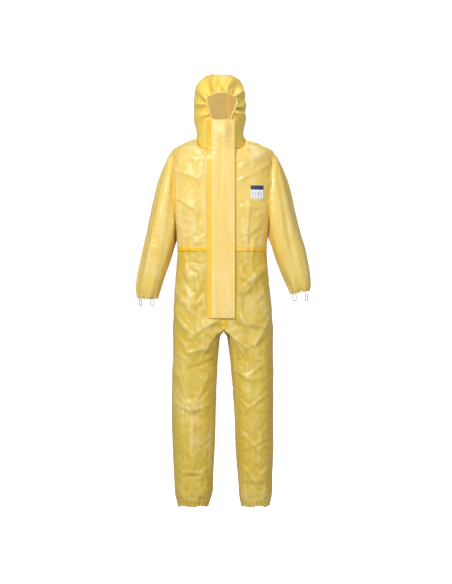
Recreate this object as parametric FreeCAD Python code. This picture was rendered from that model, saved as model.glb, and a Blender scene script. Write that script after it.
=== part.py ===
"""Hooded chemical protective coverall, built as separate panels, tapes, elastics and closure parts.

Frame: +Z up, the wearer faces -Y, the wearer's right is -X. The origin is on the ground between the ankles.
Every fabric panel is a shell of WALL thickness, which stands for the film, its folds and the air between them.
"""

import FreeCAD, Part

import math
import os

Vec = FreeCAD.Vector

# ---- driving dimensions, in millimetres -------------------------------------------------------------
WALL = 2.5            # shell thickness of a fabric panel
FRONT_Y = -118.0      # outer face of the straight front edge that carries the zip
RING_POINTS = 28      # points on each cross-section curve
WAIST_Z = 1045.0      # waist seam
HIP_HEM_Z = 764.0     # lower edge of the fixed part of the trousers
SEAM_GAP = 0.15       # half of the gap that separate panels keep at a seam
TAPE_LIFT = 0.1       # gap under a seam tape
TAPE_THICK = 0.8
TAPE_WIDTH = 18.0
BAND_THICK = 1.0      # elastic bands inside a casing
SLIT_HALF = 8.0       # half of the front opening that the zip closes
SLIT_BOTTOM = 785.0
NECK_FRONT_Z = 1441.0
NECK_SLOPE = 0.30     # rise of the neck seam per millimetre towards the back
ZIP_TOP = 1548.0
ZIP_BOTTOM = 792.0
SLIDER_Z = 1528.0     # lower edge of the slider when the zip is closed
INNER_FLAP_Y = -113.3
INNER_FLAP_TOP = 1376.0
FLAP_HINGE_X = -46.0
FLAP_WIDTH = 96.0
FLAP_Z = (767.0, 1569.0)
FLAP_Y = -130.3       # inner face of the closed flap
FLAP_THICK = 1.2
ARMHOLE_Z = 1314.0    # middle of the armhole
ARM_X = 198.0         # plane of the sleeve's root, from the centre
ARMHOLE = (136.0, 73.0)   # half height and half depth of the hole in the body
HOOD_X = -9.0         # the hood stands a little to the wearer's right
HOOD_SEAMS = (-42.0, 24.0)
ANKLE_BAND = 14.0     # height of an ankle elastic
CUFF_BAND = 14.0      # height of a wrist elastic
CORD = 2.4            # diameter of a finger loop's cord

# Body cross-sections: height, half width, half depth, roundness (2 is an ellipse, more is boxier).
BODY = [
    (1045, 181, 112, 2.4), (1100, 184, 118, 2.5), (1180, 190, 124, 2.8), (1260, 198, 125, 3.0),
    (1340, 201, 124, 2.6), (1400, 202, 121, 1.9), (1430, 200, 118, 1.5), (1450, 190, 116, 1.38),
    (1470, 150, 112, 1.5), (1495, 99, 106, 1.9),
]
HIPS = [
    (764, 203, 121, 3.2), (800, 201, 122, 3.0), (880, 196, 124, 2.7), (960, 189, 119, 2.5),
    (1045, 181, 112, 2.4),
]
# Hood cross-sections: height, half width, half depth, centre y, roundness.
HOOD = [
    (1425, 93, 108, -10, 2.1), (1490, 98, 112, -6, 2.1), (1550, 105, 119, 1, 2.2), (1620, 108, 121, 3, 2.2),
    (1675, 105, 117, 4, 2.2), (1712, 93, 102, 5, 2.2), (1735, 73, 80, 6, 2.1), (1748, 45, 49, 7, 2.0),
    (1752, 20, 22, 7, 2.0),
]
# Leg cross-sections for each side: height, centre x, half width, half depth, roundness.
LEGS = {
    "right": [(770, -99, 95, 106, 2.2), (706, -101, 97, 107, 2.5), (640, -109, 93, 106, 2.4),
              (435, -116, 88, 98, 2.2), (110, -118, 79, 84, 2.1), (40, -118, 71, 74, 2.0),
              (15, -118, 66, 66, 2.0), (0, -118, 64.4, 64.4, 2.0)],
    "left": [(770, 99, 95, 106, 2.2), (706, 101, 97, 107, 2.5), (640, 116, 88, 106, 2.4),
             (435, 126, 80, 96, 2.2), (110, 134, 72, 80, 2.1), (40, 134, 67, 70, 2.0),
             (15, 133, 65, 65, 2.0), (0, 133, 64.4, 64.4, 2.0)],
}
# Sleeve cross-sections for each side: inner point (x, z), outer point (x, z), half depth. x is away from the centre.
SLEEVES = {
    "right": [((184, 1189), (184, 1439), 63), ((200, 1178), (228, 1405), 72), ((200, 1165), (252, 1345), 77),
              ((197, 1145), (275, 1255), 78), ((193.5, 1110), (298, 1165), 77), ((191.5, 1075), (317, 1080), 75),
              ((210, 1019), (329, 1015), 70), ((229, 954), (341, 950), 63), ((250, 889), (347, 888), 52),
              ((263.2, 861), (341.8, 861), 39.3), ((263.2, 847), (341.8, 847), 39.3)],
    "left": [((184, 1189), (184, 1439), 63), ((200, 1178), (228, 1405), 72), ((200, 1165), (252, 1345), 77),
             ((197, 1145), (275, 1255), 78), ((193.5, 1112), (300, 1165), 77), ((192, 1078), (322, 1080), 75),
             ((213, 1019), (336, 1015), 70), ((238, 954), (347, 950), 62), ((262, 900), (350, 898), 50),
             ((270.2, 882), (348.8, 882), 39.3), ((270.2, 868), (348.8, 868), 39.3)],
}
CUFFS = {"right": (-302.5, 847.0), "left": (309.5, 868.0)}   # centre x and lower edge of each cuff
CUFF_R = 34.5         # inner radius of a wrist elastic
ANKLES = {"right": -118.0, "left": 133.0}
ANKLE_R = 59.5        # inner radius of an ankle elastic
# A finger loop's route in its own plane: along the cuff's edge, and down from it.
LOOP_ROUTE = [(-5.0, 0.0), (-9.0, -16.0), (-6.0, -29.0), (6.0, -30.0), (9.0, -16.0), (5.0, 0.0)]
LOOP_DROP = 1.6       # how far below the hem a loop's stitched ends turn
LOOP_ANGLES = {"right": (218.0, 298.0), "left": (242.0, 322.0)}   # degrees round each cuff from +X
LOOP_NAMES = {"right": ("right_thumb_loop", "right_finger_loop"), "left": ("left_finger_loop", "left_thumb_loop")}
LOOP_R = 38.2         # distance of a loop from the cuff's axis

os.makedirs("parts", exist_ok=True)


# ---- helpers ----------------------------------------------------------------------------------------
def save(name, shape):
    """Writes one node, and stops if a solid is missing or open."""
    solids = shape.Solids
    if not solids or not all(s.isValid() and s.Volume > 0 for s in solids):
        raise SystemExit(f"{name} is not made of valid solids")
    shape = solids[0] if len(solids) == 1 else Part.makeCompound(solids)
    shape.exportStep(f"parts/{name}.step")
    box = shape.optimalBoundingBox(False)
    print(f"{name}: {len(solids)} solid(s), {shape.Volume / 1000:.1f} cm3, "
          f"x {box.XMin:.0f}..{box.XMax:.0f} y {box.YMin:.1f}..{box.YMax:.1f} z {box.ZMin:.0f}..{box.ZMax:.0f}")


def oval(centre, across, depth, n):
    """A closed smooth curve: centre, half-axis vector, half-depth vector and roundness."""
    points = []
    for k in range(RING_POINTS):
        turn = 2 * math.pi * k / RING_POINTS
        c, s = math.cos(turn), math.sin(turn)
        reach = (abs(c) ** n + abs(s) ** n) ** (-1 / n)
        points.append(centre + across * (c * reach) + depth * (s * reach))
    curve = Part.BSplineCurve()
    curve.interpolate(Points=points, PeriodicFlag=True)
    return Part.Wire([curve.toShape()])


def tube_solid(rings):
    return Part.makeLoft(rings, True, True)


def bent_tube_solid(rings):
    """A tube whose rings turn too much for one loft, built run by run."""
    runs = [Part.makeLoft([a, b], True, True) for a, b in zip(rings, rings[1:])]
    return runs[0].fuse(runs[1:])


def flat_rings(stations, grow, stretch):
    """Horizontal rings of a body, hood or leg. Each station is (z, x, y, half width, half depth, roundness)."""
    last = len(stations) - 1
    rings = []
    for k, (z, x, y, a, b, n) in enumerate(stations):
        z += {0: -1, last: 1}.get(k, 0) * stretch * (1 if stations[-1][0] > stations[0][0] else -1)
        rings.append(oval(Vec(x, y, z), Vec(a + grow, 0, 0), Vec(0, b + grow, 0), n))
    return rings


def shell(stations, outside=0.0, thick=WALL):
    """A tube open at both ends, between the stations grown by outside and the same less thick."""
    outer = tube_solid(flat_rings(stations, outside, 0))
    return outer.cut(tube_solid(flat_rings(stations, outside - thick, 2)))


def block(x, y, z):
    """A box between two limits along each axis."""
    return Part.makeBox(x[1] - x[0], y[1] - y[0], z[1] - z[0], Vec(x[0], y[0], z[0]))


def ring_band(x, y, z0, z1, r_in, r_out):
    outer = Part.makeCylinder(r_out, z1 - z0, Vec(x, y, z0))
    return outer.cut(Part.makeCylinder(r_in, z1 - z0, Vec(x, y, z0)))


def oval_bar(half_height, half_depth, x0, x1):
    """A solid oval bar along X, centred on the armhole."""
    ends = [oval(Vec(x, 0, ARMHOLE_Z), Vec(0, 0, half_height), Vec(0, half_depth, 0), 2) for x in (x0, x1)]
    return tube_solid(ends)


FAR = 1000.0
FRONT = block((-FAR, FAR), (-FAR, 0), (-FAR, 3 * FAR))
BACK = block((-FAR, FAR), (0, FAR), (-FAR, 3 * FAR))


def body_stations(table):
    """Adds the centre to (z, a, b, n) so that the front edge stays at FRONT_Y."""
    return [(z, 0.0, FRONT_Y + b, a, b, n) for z, a, b, n in table]


HOOD_STATIONS = [(z, HOOD_X * min(1, (z - 1425) / 100), y, a, b, n) for z, a, b, y, n in HOOD]


def above_neck():
    """Everything above the tilted plane of the neck seam."""
    big = Part.makeBox(2 * FAR, 2 * FAR, FAR, Vec(-FAR, -FAR, 0))
    big.rotate(Vec(0, 0, 0), Vec(1, 0, 0), math.degrees(math.atan(NECK_SLOPE)))
    big.translate(Vec(0, FRONT_Y, NECK_FRONT_Z))
    return big


ABOVE_NECK = above_neck()


# ---- hood -------------------------------------------------------------------------------------------
def face_opening(grow):
    """The prism that cuts the face opening: a rounded shield, widest near its top."""
    outline = [(-34, 1567), (24, 1569), (42, 1602), (57, 1646), (38, 1667), (-2, 1678), (-42, 1668), (-62, 1650),
               (-50, 1605)]
    mid = Vec(-3, 0, 1622)
    points = []
    for x, z in outline:
        away = Vec(x, 0, z) - mid
        points.append(mid + away * (1 + grow / away.Length) + Vec(0, -FAR / 2, 0))
    curve = Part.BSplineCurve()
    curve.interpolate(Points=points, PeriodicFlag=True)
    return Part.Face(Part.Wire([curve.toShape()])).extrude(Vec(0, FAR / 2 - 20, 0))


def hood_rings(grow):
    """Rings of the hood's skin moved outwards by grow; the crown moves up by as much."""
    lifted = [(z + (grow if z > 1700 else 0), x, y, a, b, n) for z, x, y, a, b, n in HOOD_STATIONS]
    return flat_rings(lifted, grow, 0)


def make_hood():
    hood_outer = tube_solid(hood_rings(0))
    inner = tube_solid(hood_rings(-WALL))
    skin = hood_outer.cut(inner).common(ABOVE_NECK)
    slit = block((-SLIT_HALF, SLIT_HALF), (-FAR, 0), (0, 1600))
    rim = skin.common(face_opening(8).cut(face_opening(0))).cut(slit)
    skin = skin.cut(face_opening(8 + SEAM_GAP)).cut(slit)
    left, right = HOOD_SEAMS[1], HOOD_SEAMS[0]
    side_r = skin.common(block((-FAR, right - SEAM_GAP), (-FAR, FAR), (0, 2 * FAR)))
    side_l = skin.common(block((left + SEAM_GAP, FAR), (-FAR, FAR), (0, 2 * FAR)))
    middle = skin.common(block((right + SEAM_GAP, left - SEAM_GAP), (-FAR, FAR), (0, 2 * FAR)))
    # Below the face opening the side panels meet the zip, so the strips of the middle there belong to them.
    low_front = block((-FAR, FAR), (-FAR, 0), (0, 1600))
    chin_r = middle.common(low_front).common(block((-FAR, 0), (-FAR, 0), (0, 1600)))
    chin_l = middle.common(low_front).common(block((0, FAR), (-FAR, 0), (0, 1600)))
    save("hood_right_panel", Part.makeCompound(side_r.Solids + chin_r.Solids))
    save("hood_left_panel", Part.makeCompound(side_l.Solids + chin_l.Solids))
    save("hood_centre_panel", middle.cut(low_front))
    save("face_elastic", rim)
    for name, x in (("hood_right_seam_tape", right), ("hood_left_seam_tape", left)):
        strip = block((x - TAPE_WIDTH / 3, x + TAPE_WIDTH / 3), (-FAR, FAR), (NECK_FRONT_Z + 90, 2 * FAR))
        strip = strip.cut(block((-FAR, FAR), (-FAR, 0), (0, 1600)))
        over = tube_solid(hood_rings(TAPE_LIFT + TAPE_THICK)).common(strip)
        save(name, over.cut(tube_solid(hood_rings(TAPE_LIFT))).cut(face_opening(9)))
    return hood_outer


# ---- body -------------------------------------------------------------------------------------------
def make_body(hood_outer):
    stations = body_stations(BODY)
    neck = hood_outer.common(ABOVE_NECK)
    armhole = [oval_bar(*ARMHOLE, 120, 300), oval_bar(*ARMHOLE, -300, -120)]
    skin = shell(stations)
    front_of_neck = block((-FAR, FAR), (-FAR, FRONT_Y + 40), (NECK_FRONT_Z - 40, 2 * FAR)).common(ABOVE_NECK)
    for tool in (neck, front_of_neck, *armhole):
        skin = skin.cut(tool)
    slit = block((-SLIT_HALF, SLIT_HALF), (-FAR, 0), (0, 2 * FAR))
    upper = skin.common(block((-FAR, FAR), (-FAR, FAR), (WAIST_Z + SEAM_GAP, 2 * FAR)))
    front = upper.common(FRONT).cut(slit)
    save("right_front_panel", front.common(block((-FAR, 0), (-FAR, FAR), (0, 2 * FAR))))
    save("left_front_panel", front.common(block((0, FAR), (-FAR, FAR), (0, 2 * FAR))))
    save("back_panel", upper.common(BACK).cut(block((-FAR, FAR), (-1, 2 * SEAM_GAP), (0, 2 * FAR))))

    hips = shell(body_stations(HIPS)).cut(block((-FAR, FAR), (-FAR, FAR), (WAIST_Z - SEAM_GAP, 2 * FAR)))
    hips = hips.cut(block((-SLIT_HALF, SLIT_HALF), (-FAR, 0), (SLIT_BOTTOM, 2 * FAR)))
    save("right_hip_panel", hips.common(block((-FAR, -SEAM_GAP), (-FAR, FAR), (0, 2 * FAR))))
    save("left_hip_panel", hips.common(block((SEAM_GAP, FAR), (-FAR, FAR), (0, 2 * FAR))))
    return stations, armhole


def make_waist():
    low, high = WAIST_Z - TAPE_WIDTH / 2, WAIST_Z + TAPE_WIDTH / 2
    around = [(z, 0.0, FRONT_Y + b, a, b, 2.4)
              for z, a, b in ((low, 182.2, 113.0), (WAIST_Z, 181.2, 112.2), (high, 182.0, 113.4))]
    front_gap = block((-20, 20), (-FAR, 0), (0, 2 * FAR))
    flap_gap = block((-40, 40), (-FAR, 0), (0, 2 * FAR))
    save("waist_seam_tape", shell(around, 1.3 + TAPE_THICK, TAPE_THICK).cut(front_gap))
    save("waist_elastic", shell(around, -WALL - 1.0, BAND_THICK).cut(flap_gap))


def make_body_tapes(stations, armhole):
    """Tapes over the armhole seams and the seat seam, and the band that carries the flap's seam."""
    low = body_stations([(z, a, b, n) for z, a, b, n in BODY])
    cover = shell(low, TAPE_LIFT + TAPE_THICK, TAPE_THICK)
    for side, sign, hole in (("left", 1, armhole[0]), ("right", -1, armhole[1])):
        wide = oval_bar(ARMHOLE[0] + 10, ARMHOLE[1] + 10, *sorted((sign * 150, sign * 300)))
        ring = cover.common(wide).cut(hole)
        ring = ring.cut(block((-FAR, FAR), (-FAR, FAR), (1438, 2 * FAR)))
        save(f"{side}_armhole_tape", ring)
    seat = shell(body_stations(HIPS), TAPE_LIFT + TAPE_THICK, TAPE_THICK)
    strip = block((-TAPE_WIDTH / 2, TAPE_WIDTH / 2), (0, FAR), (HIP_HEM_Z, WAIST_Z - TAPE_WIDTH / 2 - 2))
    save("seat_seam_tape", seat.common(strip))
    strip = block((-TAPE_WIDTH / 2, TAPE_WIDTH / 2), (-FAR, 0), (HIP_HEM_Z, SLIT_BOTTOM - 1))
    save("crotch_seam_tape", seat.common(strip))


def make_label():
    cover = shell(body_stations(BODY), TAPE_LIFT + 0.5, 0.5)
    where = block((114, 165), (-FAR, 0), (1250, 1303))
    save("chest_label", cover.common(where))


# ---- closure ----------------------------------------------------------------------------------------
ZIP_Y = FRONT_Y - 1.4     # middle of the chain's thickness


def make_zip():
    tape_y = (ZIP_Y - 0.35, ZIP_Y + 0.35)
    long = (ZIP_BOTTOM, ZIP_TOP)
    for side, sign in (("right", -1), ("left", 1)):
        save(f"zip_tape_{side}", block(sorted((sign * 2.8, sign * 16)), tape_y, long))
        save(f"zip_coil_{side}", block(sorted((sign * 0.9, sign * 2.7)), (ZIP_Y - 1.2, ZIP_Y + 1.2), long))
    save("zip_bottom_stop", block((-3.4, 3.4), (ZIP_Y - 1.8, ZIP_Y + 1.8), (ZIP_BOTTOM - 6.2, ZIP_BOTTOM - 0.2)))
    stops = [block(sorted((s * 0.9, s * 3.0)), (ZIP_Y - 1.6, ZIP_Y + 1.6), (ZIP_TOP + 0.2, ZIP_TOP + 5)) for s in (-1, 1)]
    save("zip_top_stops", Part.makeCompound(stops))

    # Inner flap behind the zip, with a thicker band where it is sewn to the wearer's right-hand edge.
    height = (ZIP_BOTTOM - 12, INNER_FLAP_TOP)
    inner = block((-36, 34), (INNER_FLAP_Y, INNER_FLAP_Y + 1.0), height)
    band = block((-36, -31), (INNER_FLAP_Y - 0.6, INNER_FLAP_Y), height)
    save("inner_flap", inner.fuse(band))
    # The same flap goes on up to the chin as a double layer.
    save("chin_guard", block((-22, 16), (INNER_FLAP_Y + 2.7, INNER_FLAP_Y + 3.9), (INNER_FLAP_TOP + 3, 1545)))


def make_slider():
    """Two plates joined by a thin post that runs between the rows of coil, and a bridge for the pull."""
    z0, z1 = SLIDER_Z, SLIDER_Z + 13
    front = block((-5.5, 5.5), (ZIP_Y - 3.0, ZIP_Y - 1.8), (z0, z1))
    back = block((-5.5, 5.5), (ZIP_Y + 1.8, ZIP_Y + 3.0), (z0, z1))
    post = block((-0.55, 0.55), (ZIP_Y - 2.4, ZIP_Y + 2.4), (z1 - 5, z1))
    rims = [block(sorted((s * 4.5, s * 5.5)), (ZIP_Y - 2, ZIP_Y - 0.9), (z0, z1)) for s in (-1, 1)]
    cheeks = [block(sorted((s * 2.0, s * 3.2)), (ZIP_Y - 6.2, ZIP_Y - 2.9), (z1 - 7, z1 - 3)) for s in (-1, 1)]
    pin = Part.makeCylinder(0.8, 6.4, Vec(-3.2, ZIP_Y - 5.2, z1 - 5), Vec(1, 0, 0))
    slider = front.fuse([back, post, *rims, *cheeks, pin]).removeSplitter()
    save("zip_slider", slider)

    pin_y, pin_z = ZIP_Y - 5.2, z1 - 5
    head = Part.makeCylinder(1.9, 3.2, Vec(-1.6, pin_y, pin_z), Vec(1, 0, 0))
    neck = block((-1.6, 1.6), (pin_y - 0.7, pin_y + 0.7), (pin_z - 8, pin_z))
    grip = block((-3.6, 3.6), (pin_y - 0.7, pin_y + 0.7), (pin_z - 30, pin_z - 7))
    pull = head.fuse([neck, grip]).cut(Part.makeCylinder(1.1, 4, Vec(-2, pin_y, pin_z), Vec(1, 0, 0)))
    save("zip_pull", pull.removeSplitter())


def make_flap():
    x0, x1 = FLAP_HINGE_X, FLAP_HINGE_X + FLAP_WIDTH
    face = (FLAP_Y - FLAP_THICK, FLAP_Y)
    save("outer_flap", block((x0 + 0.5, x1), face, FLAP_Z))
    save("flap_edge_hem", block((x1 - 20, x1), (face[0] - 0.9, face[0] - 0.1), FLAP_Z))
    save("flap_adhesive_strip", block((x1 - 22, x1 - 4), (FLAP_Y + 0.1, FLAP_Y + 0.5), (FLAP_Z[0] + 8, FLAP_Z[1] - 60)))
    root = block((x0 - 17, x0 - 0.6), (FLAP_Y - 0.4, FLAP_Y + 0.4), FLAP_Z)
    web = block((x0 - 9, x0 - 7.5), (FLAP_Y + 0.3, FRONT_Y - 1.0), (FLAP_Z[0], NECK_FRONT_Z))
    save("flap_seam_tape", root.fuse(web).removeSplitter())


# ---- sleeves ----------------------------------------------------------------------------------------
def sleeve_rings(side, grow, extend):
    sign = -1 if side == "right" else 1
    rings = []
    stations = SLEEVES[side]
    for k, (inner, outer, depth) in enumerate(stations):
        inner = Vec(sign * inner[0], 0, inner[1])
        outer = Vec(sign * outer[0], 0, outer[1])
        centre, half = (inner + outer) * 0.5, (outer - inner) * 0.5
        if extend and k == 0:
            centre.x -= sign * extend
        if extend and k == len(stations) - 1:
            centre.z -= extend
        rings.append(oval(centre, half * (1 + grow / half.Length), Vec(0, depth + grow, 0), 2))
    return rings


def make_sleeve(side):
    outer = bent_tube_solid(sleeve_rings(side, 0, 0))
    skin = outer.cut(bent_tube_solid(sleeve_rings(side, -WALL, 2)))
    save(f"{side}_sleeve_panel", skin)
    x, z = CUFFS[side]
    save(f"{side}_cuff_elastic", ring_band(x, 0, z, z + CUFF_BAND, CUFF_R, CUFF_R + BAND_THICK + 1))
    sign = -1 if side == "right" else 1
    tape = bent_tube_solid(sleeve_rings(side, TAPE_LIFT + TAPE_THICK, 0))
    tape = tape.cut(bent_tube_solid(sleeve_rings(side, TAPE_LIFT, 3)))
    inside = {"right": (-250, -150), "left": (150, 258)}[side]
    tape = tape.common(block(inside, (-4.5, 4.5), (z + 40, 1060)))
    tape = tape.common(block(sorted((sign * 150, sign * 262)), (-6, 6), (z + 40, 1060)))
    save(f"{side}_underarm_tape", Part.makeCompound([s for s in tape.Solids if s.Volume > 50]))


def loop_path(origin, along):
    """Straight runs joined by tangent arcs, each as large as its two runs allow."""
    points = [origin + along * u + Vec(0, 0, w) for u, w in LOOP_ROUTE]
    edges, start, radii = [], points[0], []
    for k in range(1, len(points) - 1):
        into = (points[k] - points[k - 1])
        out = (points[k + 1] - points[k])
        half = into.getAngle(out) / 2
        reach = 0.45 * min(into.Length, out.Length)
        radius = reach / math.tan(half)
        into.normalize()
        out.normalize()
        first, last = points[k] - into * reach, points[k] + out * reach
        inward = (out - into).normalize()
        middle = points[k] + inward * (radius / math.cos(half) - radius)
        edges += [Part.LineSegment(start, first).toShape(), Part.Arc(first, middle, last).toShape()]
        start = last
        radii.append(radius)
    edges.append(Part.LineSegment(start, points[-1]).toShape())
    return Part.Wire(edges), radii


def make_loops(side):
    x, z = CUFFS[side]
    for name, degrees in zip(LOOP_NAMES[side], LOOP_ANGLES[side]):
        turn = math.radians(degrees)
        out = Vec(math.cos(turn), math.sin(turn), 0)
        along = Vec(-out.y, out.x, 0)
        origin = Vec(x, 0, z - LOOP_DROP) + out * LOOP_R
        path, radii = loop_path(origin, along)
        heading = path.Edges[0].tangentAt(path.Edges[0].FirstParameter)
        section = Part.Wire([Part.Circle(path.Edges[0].Vertexes[0].Point, heading, CORD / 2).toShape()])
        cord = path.makePipeShell([section], True, True)
        full = path.Length * math.pi * (CORD / 2) ** 2
        print(f"  {name}: length {path.Length:.1f}, radii {[round(r, 1) for r in radii]}, "
              f"volume ratio {cord.Volume / full:.3f}, "
              f"pivot {origin.x:.2f} {origin.y:.2f} {origin.z:.2f}, axis {along.x:.4f} {along.y:.4f}")
        save(name, cord)


# ---- legs -------------------------------------------------------------------------------------------
def leg_stations(side):
    return [(z, x, 0.0, a, b, n) for z, x, a, b, n in LEGS[side]]


def make_leg(side):
    save(f"{side}_leg_panel", shell(leg_stations(side)))
    x = ANKLES[side]
    save(f"{side}_ankle_elastic", ring_band(x, 0, 0.0, ANKLE_BAND, ANKLE_R, ANKLE_R + BAND_THICK + 1))
    sign = -1 if side == "right" else 1
    tape = shell(leg_stations(side), TAPE_LIFT + TAPE_THICK, TAPE_THICK)
    inner = block(sorted((0, sign * 100)), (-5, 5), (60, 640))
    save(f"{side}_inseam_tape", tape.common(inner))


def main():
    hood_outer = make_hood()
    stations, armhole = make_body(hood_outer)
    make_waist()
    make_body_tapes(stations, armhole)
    make_label()
    make_zip()
    make_slider()
    make_flap()
    for side in ("right", "left"):
        make_sleeve(side)
        make_loops(side)
        make_leg(side)


main()
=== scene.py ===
import math

import bmesh
import bpy
import numpy as np
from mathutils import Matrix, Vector
from mathutils.bvhtree import BVHTree


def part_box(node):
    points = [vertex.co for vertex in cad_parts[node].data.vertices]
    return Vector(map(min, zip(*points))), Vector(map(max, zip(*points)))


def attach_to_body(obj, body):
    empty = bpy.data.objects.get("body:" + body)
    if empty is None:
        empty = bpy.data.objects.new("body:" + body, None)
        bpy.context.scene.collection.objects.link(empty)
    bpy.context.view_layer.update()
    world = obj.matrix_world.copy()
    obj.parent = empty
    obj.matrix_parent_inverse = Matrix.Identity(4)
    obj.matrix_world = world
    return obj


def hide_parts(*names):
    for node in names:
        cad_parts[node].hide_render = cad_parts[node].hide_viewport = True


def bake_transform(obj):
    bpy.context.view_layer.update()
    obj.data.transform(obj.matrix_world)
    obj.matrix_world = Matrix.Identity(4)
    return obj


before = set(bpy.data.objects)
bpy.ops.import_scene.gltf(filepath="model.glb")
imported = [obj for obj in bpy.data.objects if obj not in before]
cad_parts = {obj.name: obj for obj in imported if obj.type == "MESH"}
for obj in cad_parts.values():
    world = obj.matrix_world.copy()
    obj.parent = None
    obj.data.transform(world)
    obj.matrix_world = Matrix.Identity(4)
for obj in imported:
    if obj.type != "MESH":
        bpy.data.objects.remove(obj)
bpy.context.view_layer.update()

MM = 0.001
SIDES = ("right", "left")
SIGN = {"right": -1, "left": 1}

# == Driving sizes, in millimetres. +X is the wearer's left, -Y is the front, z = 0 is the ankle hem. ==
FRONT_Y = -118.0
Z_WAIST = 1046.0
Z_UNDERARM = 1100.0
Z_YOKE = 1400.0
Z_CROTCH = 722.0
CROTCH_X = 4.0
NECK_FRONT_Z = 1449.0
QUARTER = 30          # columns from the centre front to the side of the body
ARM_ROWS = 34         # rows of the body between the underarm and the yoke
YOKE_ROWS = 10
HIP_ROWS = 36
LEG_ROWS = 84
LEG_BLEND = 16        # rows over which the crotch turns into a plain tube
INNER_BLEND = 3       # the same on the inner side of the leg
INSEAM_COLS = 26      # columns on the inner side of a leg
SLEEVE_ROWS = 72
HOOD_COLS = 200
NECK_COLS = 0.56      # share of a front quarter's columns that end on the neck seam
SLIT_HALF = 8.0       # half the gap in the film behind the zip
BODY_LOW = 6          # rows of the body between the waist and the underarm
SHOULDER_TIP = (200.0, 2.0, 1450.0)      # the x is away from the centre
ARMHOLE_TOP_Z = 1452.0
ARMHOLE_DEPTH = {"front": 66.0, "back": 78.0}
HIP_PULL_Z = 800.0    # from here down to the crotch the hips draw in between the legs
CROTCH_SAG = 6.0
SLEEVE_ROUNDNESS = 2.15
HOOD_RINGS_Z = 1571.0     # above this height the hood's rows are level
CHIN_Z = 1600.0
HOOD_TAPE_HALF = 6.5

# Body: height, centre x, half width, front-to-back half depth in front, the same behind, roundness.
TRUNK = [
    (1046, -2, 181, 112, 112, 2.4), (1100, -2, 186, 116, 118, 2.5), (1165, -2, 197, 119, 124, 2.7),
    (1246, 0, 207, 121, 129, 2.9), (1311, 0, 210, 121, 128, 2.8), (1360, 0, 208, 120, 125, 2.6),
    (1400, 0, 205, 119, 121, 2.4),
]
HIPS = [
    (722, 2, 203, 117, 128, 2.6), (765, 1, 201, 118, 130, 2.7), (840, 0, 197, 119, 131, 2.7),
    (905, -2, 191, 118, 128, 2.6), (960, -2, 187, 116, 122, 2.5), (1046, -2, 181, 112, 112, 2.4),
]
# Legs: height, centre x, half width, half depth, roundness.
LEGS = {
    "right": [(0, -120, 60, 66, 2.0), (12, -120, 61, 68, 2.0), (28, -119, 66.5, 73, 2.0),
              (50, -118, 73, 78, 2.1), (77, -117, 77, 81, 2.1), (142, -118, 79.5, 86, 2.2),
              (240, -117.5, 84, 91, 2.2), (353, -117.5, 88, 96, 2.3),
              (483, -115.5, 90, 101, 2.3), (645, -108.5, 93, 106, 2.4), (722, -104.5, 94.5, 110, 2.5)],
    "left": [(0, 134, 54, 64, 2.0), (12, 134, 56, 66, 2.0), (28, 134, 61, 70, 2.0),
             (50, 134, 65.5, 74, 2.1), (77, 134, 68, 77, 2.1), (142, 132, 70.5, 82, 2.2),
             (240, 130, 75.5, 88, 2.2), (353, 128, 77.5, 93, 2.3),
             (483, 124, 82, 99, 2.3), (645, 115.5, 90, 105, 2.4), (722, 109, 92, 110, 2.5)],
}
# Sleeves: inner point (x, z), outer point (x, z), half depth. x is away from the centre.
SLEEVES = {
    "right": [((190, 1086), (222, 1420), 72), ((194, 1070), (240, 1378), 77), ((200, 1052), (259, 1320), 80),
              ((206, 1028), (277, 1250), 81), ((213, 1003), (295, 1175), 80), ((221, 976), (309, 1108), 78),
              ((230, 950), (322, 1050), 75), ((239, 924), (333, 995), 70), ((247, 899), (343, 942), 64),
              ((254, 875), (348, 895), 57), ((261, 856), (344, 864), 48), ((263, 843), (341, 845), 41)],
    "left": [((186, 1090), (222, 1420), 72), ((192, 1076), (240, 1378), 77), ((199, 1058), (259, 1320), 80),
             ((207, 1033), (277, 1250), 81), ((216, 1006), (296, 1172), 80), ((227, 979), (314, 1104), 78),
             ((239, 951), (332, 1048), 75), ((250, 926), (345, 992), 70), ((261, 903), (353, 944), 64),
             ((271, 884), (355, 908), 57), ((276, 871), (351, 884), 48), ((278, 863), (347, 876), 41)],
}
# Hood: height, centre x, half width, half depth, centre y, roundness.
HOOD = [
    (1430, -6, 97, 108, -10, 2.1), (1490, -7, 99, 112, -6, 2.1), (1515, -10, 95, 113, -4, 2.1),
    (1571, -10.5, 105, 119, 1, 2.2), (1652, -10.5, 106, 120, 3, 2.3), (1701, -10.5, 98, 109, 4, 2.3),
    (1734, -10, 81, 86, 5, 2.3), (1748, -8, 64, 66, 6, 2.2), (1755, -7, 38, 40, 7, 2.1),
    (1757, -6, 14, 15, 7, 2.0),
]
FACE_MID = (-3.0, 1622.0)
FACE = [(-34, 1565), (24, 1567), (42, 1602), (57, 1644), (40, 1664), (-2, 1678), (-45, 1666), (-62, 1650),
        (-52, 1605)]
HOOD_SEAMS = (-42.0, 24.0)


# == Small tools ==
def mirrored(turn, sign):
    """Angles that start at the wearer's left, or at the right when sign is negative."""
    return turn if sign > 0 else math.pi - turn


def smooth_step(t):
    t = np.clip(t, 0.0, 1.0)
    return t * t * (3 - 2 * t)


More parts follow.
